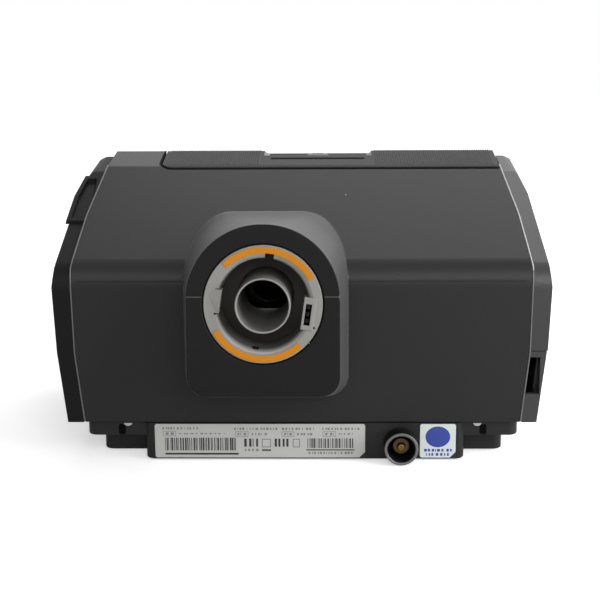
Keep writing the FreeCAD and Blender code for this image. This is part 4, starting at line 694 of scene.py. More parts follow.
@dataclass(frozen=True)
class Seat:
    """A flat place on the machine: where its middle is, and which ways are right, up and out of it."""

    origin: Point
    right: Point
    up: Point
    out: Point

    def at(self, right: Array, up: Array, out: Array | float = 0.0) -> Array:
        """Carries places on the seat into the machine's frame.

        The place is the origin plus right, up and out times the seat's three directions.

        Args:
            right: distances to the right, in millimetres.
            up: distances up, in millimetres.
            out: distances out of the seat, in millimetres.

        Returns:
            Points in metres, one more axis of length three than the arguments have.
        """
        parts = np.broadcast_arrays(np.asarray(right, float), np.asarray(up, float), np.asarray(out, float))
        axes = np.array([self.right, self.up, self.out])
        return np.array(self.origin) + MM * np.stack(parts, axis=-1) @ axes

    def turned(self, degrees: float) -> Seat:
        """Gives the same seat turned clockwise, as seen from outside, by an angle in degrees.

        Args:
            degrees: the angle.

        Returns:
            The turned seat.
        """
        turn = math.radians(degrees)
        right, up = np.array(self.right), np.array(self.up)
        return Seat(self.origin, tuple(math.cos(turn) * right - math.sin(turn) * up),
                    tuple(math.sin(turn) * right + math.cos(turn) * up), self.out)


def quads(rows: int, columns: int, loop_rows: bool, loop_columns: bool) -> Array:
    """Numbers the four corners of every cell of a grid of points.

    Args:
        rows: points along the first parameter.
        columns: points along the second parameter.
        loop_rows: the last row joins the first.
        loop_columns: the last column joins the first.

    Returns:
        One row of four point numbers for each cell.
    """
    first, second = np.meshgrid(np.arange(rows if loop_rows else rows - 1),
                                np.arange(columns if loop_columns else columns - 1), indexing="ij")
    below, beside = (first + 1) % rows, (second + 1) % columns
    corners = (first * columns + second, below * columns + second, below * columns + beside,
               first * columns + beside)
    return np.stack(corners, axis=-1).reshape(-1, 4)


def to_piece(name: str, points: Array, faces: Array, angle: float = 35.0) -> Piece:
    """Makes a closed piece of points and faces, with its doubles merged and its faces outwards.

    Args:
        name: the piece's name.
        points: the points, in metres.
        faces: point numbers of each face.
        angle: edges sharper than this, in degrees, are shaded as edges.

    Returns:
        The new piece.
    """
    mesh = bpy.data.meshes.new(name)
    mesh.from_pydata(points.reshape(-1, 3), [], faces.tolist())
    shape = bmesh.new()
    shape.from_mesh(mesh)
    bmesh.ops.remove_doubles(shape, verts=shape.verts, dist=MERGE)
    bmesh.ops.dissolve_degenerate(shape, edges=shape.edges, dist=THIN)
    bmesh.ops.recalc_face_normals(shape, faces=shape.faces)
    shape.to_mesh(mesh)
    shape.free()
    mesh.shade_smooth()
    mesh.set_sharp_from_angle(angle=math.radians(angle))
    return bpy.data.objects.new(name, mesh)


def swept(seat: Seat, profile: Array, turn: Array) -> Array:
    """Carries a profile of (radius, depth) pairs round a seat's axis to each of a column of angles."""
    return seat.at(profile[:, 0] * np.cos(turn), profile[:, 0] * np.sin(turn), profile[:, 1])


def shut_ends(rings: Array) -> Array:
    """Adds a ring at either end that is drawn together to the middle of the ring beside it."""
    first, last = (np.broadcast_to(ring.mean(axis=0), ring.shape) for ring in (rings[0], rings[-1]))
    return np.concatenate((first[None], rings, last[None]))


def lathe(name: str, seat: Seat, profile: Array, steps: int) -> Piece:
    """Turns a closed profile about the seat's axis.

    The point at profile step k and angle t is radius_k * cos t to the right, radius_k * sin t up and
    depth_k out of the seat.

    Args:
        name: the piece's name.
        seat: whose out direction is the axis.
        profile: (radius, depth) pairs in millimetres; one that starts and ends on the axis closes there.
        steps: facets round the axis.

    Returns:
        The new piece.
    """
    turn = np.linspace(0, 2 * np.pi, steps, endpoint=False)[:, None]
    on_axis = bool(profile[0, 0] == 0 and profile[-1, 0] == 0)
    return to_piece(name, swept(seat, profile, turn), quads(steps, len(profile), True, not on_axis))


def arc_band(name: str, seat: Seat, profile: Array, start: float, end: float, steps: int) -> Piece:
    """Turns a closed profile through part of a circle and shuts both ends.

    The points are those of a lathe between the angles start and end.

    Args:
        name: the piece's name.
        seat: whose out direction is the axis.
        profile: (radius, depth) pairs in millimetres, in a loop.
        start: first angle in degrees, from the right towards up.
        end: last angle in degrees.
        steps: stations along the arc.

    Returns:
        The new piece.
    """
    turn = np.radians(np.linspace(start, end, steps))[:, None]
    points = shut_ends(swept(seat, profile, turn))
    return to_piece(name, points, quads(steps + 2, len(profile), False, True))


def rounded_outline(half_right: float, half_up: float, corner: float, steps: int = 12) -> Array:
    """Gives a rectangle with round corners as a loop of points.

    Each corner is a quarter circle of the corner radius about a point drawn in by that radius.

    Args:
        half_right: half the width, in millimetres.
        half_up: half the height.
        corner: radius of the corners.
        steps: points in each corner.

    Returns:
        Points (right, up), anticlockwise.
    """
    turn = np.linspace(0, 2 * np.pi, 4 * steps, endpoint=False) + np.pi / (4 * steps)
    side = np.stack((np.sign(np.cos(turn)), np.sign(np.sin(turn))), axis=-1)
    quarter = np.stack((np.cos(turn), np.sin(turn)), axis=-1)
    return side * (np.array([half_right, half_up]) - corner) + corner * quarter


def pill(name: str, seat: Seat, outline: Array, low: float, high: float, rounding: float = 0.01) -> Piece:
    """Raises an outline to a flat plate with a rounded rim.

    From the rim inwards the outline shrinks towards its middle; the rim is a quarter circle.

    Args:
        name: the piece's name.
        seat: the seat that it lies on.
        outline: loop of (right, up) points, in millimetres.
        low: depth of its back.
        high: height of its face at the rim.
        rounding: radius of the rim.

    Returns:
        The new piece.
    """
    middle = outline.mean(axis=0)
    reach = np.abs(outline - middle).max()
    bend = np.linspace(0, np.pi / 2, 5)
    share = 1 - rounding * (1 - np.cos(bend)) / reach
    height = high - rounding + rounding * np.sin(bend)
    shares = np.concatenate(([0, 1], share, [share[-1] / 2, 0]))[:, None]
    heights = np.concatenate(([low, low], height, [high, high]))[:, None]
    spread = middle + shares[..., None] * (outline - middle)[None]
    points = seat.at(spread[..., 0], spread[..., 1], heights)
    return to_piece(name, points, quads(len(shares), len(outline), False, True))


def blocks(name: str, seat: Seat, spans: Array) -> Piece:
    """Makes many small blocks as one piece.

    Args:
        name: the piece's name.
        seat: the seat that they lie on.
        spans: one row for each block: left, right, bottom, top, back and face, in millimetres.

    Returns:
        The new piece.
    """
    corner = np.array([(x, y, z) for z in (4, 5) for x, y in ((0, 2), (1, 2), (1, 3), (0, 3))])
    places = np.asarray(spans, float)[:, corner]
    points = seat.at(places[..., 0], places[..., 1], places[..., 2])
    sides = np.array([(3, 2, 1, 0), (4, 5, 6, 7), (0, 1, 5, 4), (1, 2, 6, 5), (2, 3, 7, 6), (3, 0, 4, 7)])
    faces = (8 * np.arange(len(places)))[:, None, None] + sides[None]
    return to_piece(name, points, faces.reshape(-1, 4))


def slab(name: str, top: Array, bottom: Array) -> Piece:
    """Closes the space between two grids of points of one shape.

    Args:
        name: the piece's name.
        top: outer grid, in metres.
        bottom: inner grid, in metres.

    Returns:
        The new piece.
    """
    rows, columns = top.shape[:2]
    loop = np.concatenate((top, bottom[:, ::-1]), axis=1)
    faces = [quads(rows, 2 * columns, False, True)]
    across = np.arange(columns - 1)
    for start in (0, (rows - 1) * 2 * columns):
        far = start + 2 * columns - 1 - across
        faces.append(np.stack((start + across, start + across + 1, far - 1, far), axis=-1))
    return to_piece(name, loop, np.concatenate(faces), angle=60.0)


class Workshop:
    """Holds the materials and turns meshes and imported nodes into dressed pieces.

    In a softened node, points nearer than merge become one, faces flatter than flat_angle are joined, and
    edges flatter than edge_angle stay as they are.
    """

    merge: float = 0.004 * MM
    flat_angle: float = math.radians(0.6)
    edge_angle: float = math.radians(32.0)

    def __init__(self) -> None:
        """Builds the effects and every finish."""
        self.effects = Effects()
        self.materials = {look: finish.material(self.effects) for look, finish in FINISHES.items()}
        self.slots = {part["node"]: Slot(part["material_slot"]) for part in frame["record"]["subparts"]}
        self.bodies = {node: item["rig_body"] for node, item in frame["nodes"].items()}
        self.dressed: set[str] = set()

    def paint(self, item: Piece, look: Slot | Trim) -> None:
        """Gives a piece one finish all over."""
        item.data.materials.clear()
        item.data.materials.append(self.materials[look])

    def paint_part(self, item: Piece, look: Trim, chosen: Array) -> None:
        """Gives some of a piece's faces another finish.

        Args:
            item: the piece.
            look: the other finish.
            chosen: one truth value for each face.
        """
        numbers = np.zeros(len(item.data.polygons), dtype=np.int32)
        item.data.polygons.foreach_get("material_index", numbers)
        numbers[chosen] = len(item.data.materials)
        item.data.materials.append(self.materials[look])
        item.data.polygons.foreach_set("material_index", numbers)
        LOG.info("%s: %d faces in %s", item.name, int(chosen.sum()), look.value)

    def finish_piece(self, item: Piece, slot: Slot, body: str, *nodes: str,
                     look: Trim | None = None) -> Piece:
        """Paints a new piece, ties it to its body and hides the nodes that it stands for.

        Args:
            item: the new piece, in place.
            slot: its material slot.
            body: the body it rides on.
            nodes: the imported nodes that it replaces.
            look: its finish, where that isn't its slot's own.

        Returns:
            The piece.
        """
        if item.name not in bpy.context.scene.collection.objects:
            bpy.context.scene.collection.objects.link(item)
        self.paint(item, look or slot)
        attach(item, body)
        if nodes:
            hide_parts(*nodes)
            self.dressed.update(nodes)
        LOG.info("%s: %d faces, rides on %s", item.name, len(item.data.polygons), body)
        return item

    def soften(self, node: str, width: float, segments: int) -> Piece:
        """Stands a merged copy of a node with rounded edges in for it.

        Args:
            node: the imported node.
            width: width of the rounding, in millimetres.
            segments: facets across the rounding.

        Returns:
            The new piece.
        """
        mesh = frame["nodes"][node].data.copy()
        mesh.name = f"{node}_soft"
        shell = bmesh.new()
        shell.from_mesh(mesh)
        bmesh.ops.remove_doubles(shell, verts=shell.verts, dist=self.merge)
        bmesh.ops.dissolve_limit(shell, angle_limit=self.flat_angle, verts=shell.verts, edges=shell.edges,
                                 use_dissolve_boundaries=False)
        shell.to_mesh(mesh)
        shell.free()
        mesh.shade_smooth()
        mesh.set_sharp_from_angle(angle=self.edge_angle)
        item = bpy.data.objects.new(f"{node}_soft", mesh)
        bevel = item.modifiers.new("rounding", "BEVEL")
        bevel.width = width * MM
        bevel.segments = segments
        bevel.limit_method = "ANGLE"
        bevel.angle_limit = self.edge_angle
        bevel.harden_normals = True
        bevel.miter_outer = "MITER_ARC"
        weighted = item.modifiers.new("weighting", "WEIGHTED_NORMAL")
        weighted.keep_sharp = True
        return self.finish_piece(item, self.slots[node], self.bodies[node], node)

    def paint_rest(self) -> None:
        """Gives every node that has no dressed piece its slot's material."""
        for node, item in frame["nodes"].items():
            if node not in self.dressed:
                self.paint(item, self.slots[node])


@dataclass(frozen=True)
class Lamp:
    """A rectangular softbox, with its middle, the point that it faces and its power in watts."""

    name: str
    place: Point
    aim: Point
    width: float
    height: float
    power: float

    def hang(self) -> None:
        """Adds the lamp to the scene."""
        data = bpy.data.lights.new(self.name, "AREA")
        data.shape = "RECTANGLE"
        data.size, data.size_y, data.energy = self.width, self.height, self.power
        lamp = bpy.data.objects.new(self.name, data)
        lamp.location = self.place
        facing = Vector(self.aim) - Vector(self.place)
        lamp.rotation_euler = facing.to_track_quat("-Z", "Y").to_euler()
        bpy.context.scene.collection.objects.link(lamp)


@dataclass
class Studio:
    """Pale floor, soft lamps and the camera behind the machine."""

    floor_half: float = 6.0
    floor_grey: float = 0.84
    floor_glow: float = 0.5
    white_from: tuple[float, float] = (0.25, 1.1)
    camera_place: Point = (-0.01334, 0.68257, 0.25439)
    yaw: float = -1.239
    pitch: float = -16.007
    roll: float = -0.418
    lens: float = 97.587
    sensor: float = 36.0
    clip_start: float = 0.01
    ambient: float = 0.26
    lamps: tuple[Lamp, ...] = (
        Lamp("overhead_softbox", (-0.18, -0.60, 0.85), (0.0, 0.0, 0.08), 0.9, 0.4, 5.0),
        Lamp("right_softbox", (-0.95, 0.55, 0.45), (0.0, 0.0, 0.08), 0.6, 0.8, 9.0),
        Lamp("right_strip", (-0.60, 0.26, 0.16), (-0.05, 0.0, 0.06), 0.14, 0.24, 1.2),
        Lamp("rear_fill", (-0.2, 1.6, 0.9), (0.0, 0.0, 0.05), 1.2, 0.8, 13.0),
        Lamp("side_softbox", (-1.1, -0.75, 0.4), (0.0, 0.0, 0.06), 1.0, 0.8, 6.0),
    )

    def build(self) -> None:
        """Adds the camera, floor, lamps and world."""
        self._camera()
        self._floor()
        for lamp in self.lamps:
            lamp.hang()
        self._world()
        bpy.context.scene.view_settings.view_transform = "Standard"

    def _camera(self) -> None:
        """Turns the camera by yaw, pitch and roll, seen along -Y."""
        yaw, pitch, roll = (math.radians(turn) for turn in (self.yaw, self.pitch, self.roll))
        level = math.cos(pitch)
        ahead = Vector((-math.sin(yaw) * level, -math.cos(yaw) * level, math.sin(pitch)))
        right = Vector((-math.cos(yaw), math.sin(yaw), 0.0))
        up = right.cross(ahead)
        across = right * math.cos(roll) + up * math.sin(roll)
        above = up * math.cos(roll) - right * math.sin(roll)
        camera = bpy.data.objects.new("camera", bpy.data.cameras.new("camera"))
        camera.matrix_world = (Matrix.Translation(self.camera_place)
                               @ Matrix((across, above, -ahead)).transposed().to_4x4())
        camera.data.lens = self.lens
        camera.data.sensor_width = self.sensor
        camera.data.clip_start = self.clip_start
        bpy.context.scene.collection.objects.link(camera)
        bpy.context.scene.camera = camera

    def _floor(self) -> None:
        """Lays the floor: pale paper that keeps the soft shadow, and plain white far from the machine."""
        half = self.floor_half
        corners = np.array([(-half, -half, 0), (half, -half, 0), (half, half, 0), (-half, half, 0)], float)
        mesh = bpy.data.meshes.new("floor")
        mesh.from_pydata(corners, [], [(0, 1, 2, 3)])
        floor = bpy.data.objects.new("floor", mesh)
        bpy.context.scene.collection.objects.link(floor)
        made = bpy.data.materials.new("floor_paper")
        made.use_nodes = True
        wiring = Wiring(made.node_tree)
        paper = wiring.add("ShaderNodeBsdfDiffuse", {"Color": (*(self.floor_grey,) * 3, 1.0)})
        near_glow = wiring.add("ShaderNodeEmission", {"Strength": self.floor_glow})
        far_glow = wiring.add("ShaderNodeEmission", {"Strength": 1.0})
        seen, shine = wiring.shown()
        place = wiring.add("ShaderNodeTexCoord").outputs["Object"]
        away = wiring.add("ShaderNodeVectorMath", {0: place}, operation="LENGTH").outputs["Value"]
        far = wiring.math("MULTIPLY", wiring.band(away, *self.white_from), shine)
        lifted = wiring.add("ShaderNodeAddShader", {0: paper.outputs[0], 1: near_glow.outputs[0]})
        near = wiring.add("ShaderNodeMixShader", {0: seen, 1: paper.outputs[0], 2: lifted.outputs[0]})
        both = wiring.add("ShaderNodeMixShader", {0: far, 1: near.outputs[0], 2: far_glow.outputs[0]})
        wiring.add("ShaderNodeOutputMaterial", {"Surface": both.outputs[0]})
        mesh.materials.append(made)

    def _world(self) -> None:
        """Makes the world white where it is seen or mirrored, and a plain grey light otherwise."""
        world = bpy.data.worlds.new("studio")
        world.use_nodes = True
        wiring = Wiring(world.node_tree)
        shine = wiring.shown()[1]
        level = wiring.math("MAXIMUM", shine, self.ambient)
        sky = wiring.add("ShaderNodeBackground", {"Color": (1.0, 1.0, 1.0, 1.0), "Strength": level})
        wiring.add("ShaderNodeOutputWorld", {"Surface": sky.outputs[0]})
        bpy.context.scene.world = world


def faces_of(item: Piece) -> tuple[Array, Array]:
    """Gives the middles, in millimetres, and normals of a piece's faces.

    Args:
        item: the piece.

    Returns:
        The middles and the normals, a row for each face.
    """
    count = len(item.data.polygons)
    middles, normals = np.empty(3 * count), np.empty(3 * count)
    item.data.polygons.foreach_get("center", middles)
    item.data.polygons.foreach_get("normal", normals)
    return middles.reshape(-1, 3) / MM, normals.reshape(-1, 3)


def box_mm(node: str) -> tuple[Array, Array]:
    """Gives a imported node's lowest and highest corner in millimetres."""
    low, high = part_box(node)
    return np.array(low) / MM, np.array(high) / MM


def outlet_seat() -> Seat:
    """Gives the seat of the outlet ring's face, seen from behind, from the outlet's mount and the ring.

    Returns:
        The seat.
    """
    mount = next(item for item in frame["record"]["mounts"] if "outlet" in item["name"])
    out = np.array(mount["axis"], float)
    up = np.cross(out, (-1.0, 0.0, 0.0))
    ring = frame["nodes"]["outlet_ring"].data
    points = np.empty(3 * len(ring.vertices))
    ring.vertices.foreach_get("co", points)
    face = ((points.reshape(-1, 3) - np.array(mount["pos_m"])) @ out).max() - Outlet.block_proud * MM
    return Seat(tuple(np.array(mount["pos_m"]) + face * out), (-1.0, 0.0, 0.0), tuple(up), tuple(out))


@dataclass
class Case:
    """The charcoal shells, the mould line and the bead at the seams, lighter than the shells as a painted
    edge highlight.
    """

    rounding: dict[str, float] = field(default_factory=lambda: {
        "rear_shell": 0.6, "front_shell": 0.5, "side_cover": 0.7, "filter_cover": 0.5, "card_cover": 0.3,
        "tub_end_cover": 0.7, "top_panel": 0.4, "bottom_pan": 0.8, "feet": 0.3,
    })
    # The covers' lighter plastic is painted light.
    looks: dict[str, Trim] = field(default_factory=lambda: {
        "top_panel": Trim.LID, "side_cover": Trim.COVER, "filter_cover": Trim.COVER,
        "card_cover": Trim.COVER, "tub_end_cover": Trim.FACE,
    })
    mould_line_up: float = 78.6
    mould_line_half: float = 0.15
    mould_line_proud: float = 0.06
    mould_line_inset: float = 2.5
    boss_beside_ring: float = 9.0
    sunk: float = 0.2
    rear_y: float = 42.5
    ridge_z: float = 83.3
    ridge_radius: float = 12.0
    crown: tuple[float, float] = (-18.5, 114.8)
    widths: Profile = ((17.5, 91.0), (48.0, 94.1), (84.0, 94.6), (99.5, 91.3), (116.0, 85.2))
    bead_foot: float = 17.9
    bead_half: float = 0.3
    bead_shift: float = 0.1
    bead_proud: float = 0.22
    bead_root: float = -0.5
    climb_steps: int = 24
    turn_steps: int = 12
    round_steps: int = 9
    slab_rear: float = 39.5
    joints: tuple[Point, ...] = ((-88.0, -68.6, -0.7), (66.6, 88.0, -0.7), (-66.5, 66.5, -0.6))
    joint_head: float = -0.05
    joint_depth: tuple[float, float] = (-0.3, 0.08)
    hole_at: tuple[float, float] = (75.9, -4.1)
    hole_half: tuple[float, float] = (1.45, 2.2)
    hole_corner: float = 0.9
    hole_depth: tuple[float, float] = (-0.3, 0.05)
    lug_at: tuple[float, float] = (73.4, -1.3)
    lug_half: tuple[float, float] = (1.75, 1.3)
    lug_depth: tuple[float, float] = (-0.3, 0.5)
    lug_rounding: float = 0.25

    def build(self, shop: Workshop) -> None:
        """Softens each shell, then lays the mould line, both beads and what shows at the base.

        Args:
            shop: the workshop.
        """
        for node, width in self.rounding.items():
            shop.soften(node, width, segments=3)
        for node, look in self.looks.items():
            shop.paint(bpy.data.objects[f"{node}_soft"], look)
        self._mould_line(shop)
        for name, side in (("seam_bead_left", 1.0), ("seam_bead_right", -1.0)):
            self._bead(shop, name, side)
        self._foot_lines(shop)

    def _bead(self, shop: Workshop, name: str, side: float) -> None:
        """Lays the raised bead that runs up one edge of the rear shell, lighter than the shell as a painted
        edge highlight.

        Its path climbs the rear face, turns about the ridge's centre and follows the slope to the crown. At
        each station its section is half an ellipse over the shell's edge, whose place across follows the
        shell's width at that height.

        Args:
            shop: the workshop.
            name: the bead's name.
            side: 1 for +X, -1 for -X.
        """
        rear, ridge, radius, crown = self.rear_y, self.ridge_z, self.ridge_radius, self.crown
        slope = np.array([crown[0] - rear, crown[1] - ridge])
        slope /= np.linalg.norm(slope)
        bend = math.acos(slope[1])
        tangent = radius * math.tan(bend / 2)
        turn = np.linspace(0, bend, self.turn_steps)
        centre = np.array([rear - radius, ridge - tangent])
        arc = centre + radius * np.stack((np.cos(turn), np.sin(turn)), axis=-1)
        climb = np.linspace(self.bead_foot, centre[1], self.climb_steps)[:-1]
        rise = np.linspace(0, 1, self.climb_steps)[1:, None]
        path = np.concatenate((np.stack((np.full_like(climb, rear), climb), axis=-1), arc,
                               arc[-1] + rise * (np.array(crown) - arc[-1])))
        normal = np.concatenate((np.zeros(len(climb)), turn, np.full(len(rise), bend)))
        half = np.interp(path[:, 1], *np.array(self.widths).T) + self.bead_shift
        round_off = np.linspace(0, np.pi, self.round_steps)
        across = np.concatenate((self.bead_half * np.cos(round_off), (-self.bead_half, self.bead_half)))
        proud = np.concatenate((self.bead_proud * np.sin(round_off), (self.bead_root, self.bead_root)))
        points = np.stack((side * (half[:, None] + across), path[:, :1] + np.cos(normal)[:, None] * proud,
                           path[:, 1:] + np.sin(normal)[:, None] * proud), axis=-1) * MM
        shut = shut_ends(points)
        piece = to_piece(name, shut, quads(len(shut), len(across), False, True), angle=50.0)
        # The bead is lighter than the shell as a painted edge highlight.
        shop.finish_piece(piece, Slot.CHARCOAL, "root", look=Trim.BEAD)
        # Above the ridge the -X bead takes the brighter painted highlight.
        if side < 0:
            shop.paint_part(piece, Trim.GLINT, faces_of(piece)[0][:, 2] > ridge)

    def _foot_lines(self, shop: Workshop) -> None:
        """Lays the dark joint under the case and a lug and a hole at either end of the base; the joint and
        the holes are near black as painted shade.

        Args:
            shop: the workshop.
        """
        under, plinth_rear = box_mm("rear_shell")[0][2], box_mm("rating_label")[0][1]
        seat = Seat((0.0, 0.0, under * MM), *REAR_SIDE)
        rears = (self.slab_rear, self.slab_rear, plinth_rear)
        back, face = self.joint_depth
        spans = [(left, right, foot, self.joint_head, rear + back, rear + face)
                 for (left, right, foot), rear in zip(self.joints, rears)]
        shop.finish_piece(blocks("base_joint", seat, np.array(spans)), Slot.BLACK, "root", look=Trim.HOLLOW)
        place = Seat((0.0, self.slab_rear * MM, under * MM), *REAR_SIDE)
        turn = np.linspace(np.pi, 2 * np.pi, 20)
        half_round = np.stack((self.lug_half[0] * np.cos(turn), self.lug_half[1] * np.sin(turn)), axis=-1)
        for name, side in (("left", -1.0), ("right", 1.0)):
            hole = rounded_outline(*self.hole_half, self.hole_corner) + np.array(self.hole_at) * (side, 1.0)
            shop.finish_piece(pill(f"base_hole_{name}", place, hole, *self.hole_depth), Slot.BLACK, "root",
                              look=Trim.HOLLOW)
            lug = half_round + np.array(self.lug_at) * (side, 1.0)
            piece = pill(f"base_lug_{name}", place, lug, *self.lug_depth, self.lug_rounding)
            shop.finish_piece(piece, Slot.TAG, "root", look=Trim.GLINT)

    def _mould_line(self, shop: Workshop) -> None:
        """Lays the witness line of the mould: a low bead across the rear face, left out at the boss.

        Args:
            shop: the workshop.
        """
        low, high = box_mm("rear_shell")
        ring_low, ring_high = box_mm("outlet_ring")
        rear = box_mm("side_cover")[1][1]
        reach = 0.5 * (high[0] - low[0]) - self.mould_line_inset
        boss_half = 0.5 * (ring_high[0] - ring_low[0]) + self.boss_beside_ring
        boss = -0.5 * (ring_high[0] + ring_low[0])
        seat = Seat((0.0, rear * MM, self.mould_line_up * MM), *REAR_SIDE)
        section = (-self.mould_line_half, self.mould_line_half, -self.sunk, self.mould_line_proud)
        spans = [(-reach, boss - boss_half, *section), (boss + boss_half, reach, *section)]
        shop.finish_piece(blocks("mould_line", seat, np.array(spans)), Slot.CHARCOAL, "root")


@dataclass
class Hood:
    """The boss round the outlet: satin where it sweeps out of the case, in a colour lighter than the case
    that is painted sheen, black and grainy on its face.
    """

    face_half: float = 30.4
    face_level: float = 0.995
    face_depth: float = 0.1
    ring_clear: float = 24.2
    reach: float = 42.0
    ridge_near: float = 12.0
    flank_lean: float = 0.1
    over_rear: float = 0.25
    over_slope: float = 0.3
    turned_away: float = -0.2
    line_up: float = 3.0
    line_half: float = 0.14
    line_depth: tuple[float, float] = (-0.2, 0.05)

    def build(self, shop: Workshop) -> None:
        """Paints the sweep, satin with painted sheen, and the face of the rear shell's boss and lays the
        face's mould line.

        Args:
            shop: the workshop.
        """
        shell = bpy.data.objects["rear_shell_soft"]
        middles, normals = faces_of(shell)
        seat = outlet_seat()
        away = middles - np.array(seat.origin) / MM
        right, up, depth = (away @ np.array(axis) for axis in (seat.right, seat.up, seat.out))
        facing = normals @ np.array(seat.out)
        proud = self._proud(middles, normals, right)
        outer = proud & (facing > self.turned_away)
        level = outer & (facing > self.face_level)
        face = level & (np.abs(depth - depth[level].max()) < self.face_depth)
        inside = np.hypot(right, up) < self.ring_clear
        # The sweep's lighter satin colour is painted sheen.
        shop.paint_part(shell, Trim.SATIN, outer & ~face & ~inside)
        shop.paint_part(shell, Trim.FACE, face | (inside & proud))
        self._line(shop, seat, depth[face].max())

    def _proud(self, middles: Array, normals: Array, right: Array) -> Array:
        """Picks the shell's faces that belong to the boss.

        A face does if it lies over the plane of the rear or of the slope, or near the ridge between the two
        where the shell leans to the side within the boss's reach.

        Args:
            middles: the faces' middles, in millimetres.
            normals: their normals.
            right: how far right of the outlet each lies.

        Returns:
            One truth value for each face.
        """
        rear = box_mm("side_cover")[1][1]
        slope_foot = np.array([Case.rear_y, Case.ridge_z])
        along = np.array(Case.crown) - slope_foot
        slope_out = np.array([along[1], -along[0]]) / np.linalg.norm(along)
        over_slope = (middles[:, 1:] - slope_foot) @ slope_out > self.over_slope
        flank = (np.abs(normals[:, 0]) > self.flank_lean) & (np.abs(right) < self.reach)
        at_ridge = np.abs(middles[:, 2] - Case.ridge_z) < self.ridge_near
        near_rear = middles[:, 1] > rear - self.ridge_near
        return (middles[:, 1] > rear + self.over_rear) | over_slope | (flank & at_ridge & near_rear)

    def _line(self, shop: Workshop, seat: Seat, top: float) -> None:
        """Lays the mould line across the boss's face, on either side of the ring, in the satin finish with
        painted sheen.

        Args:
            shop: the workshop.
            seat: the outlet ring's seat.
            top: how far the face stands out of the seat, in millimetres.
        """
        section = (self.line_up - self.line_half, self.line_up + self.line_half,
                   top + self.line_depth[0], top + self.line_depth[1])
        spans = [(-self.face_half, -self.ring_clear, *section), (self.ring_clear, self.face_half, *section)]
        shop.finish_piece(blocks("boss_line", seat, np.array(spans)), Slot.BLACK, "root", look=Trim.SATIN)


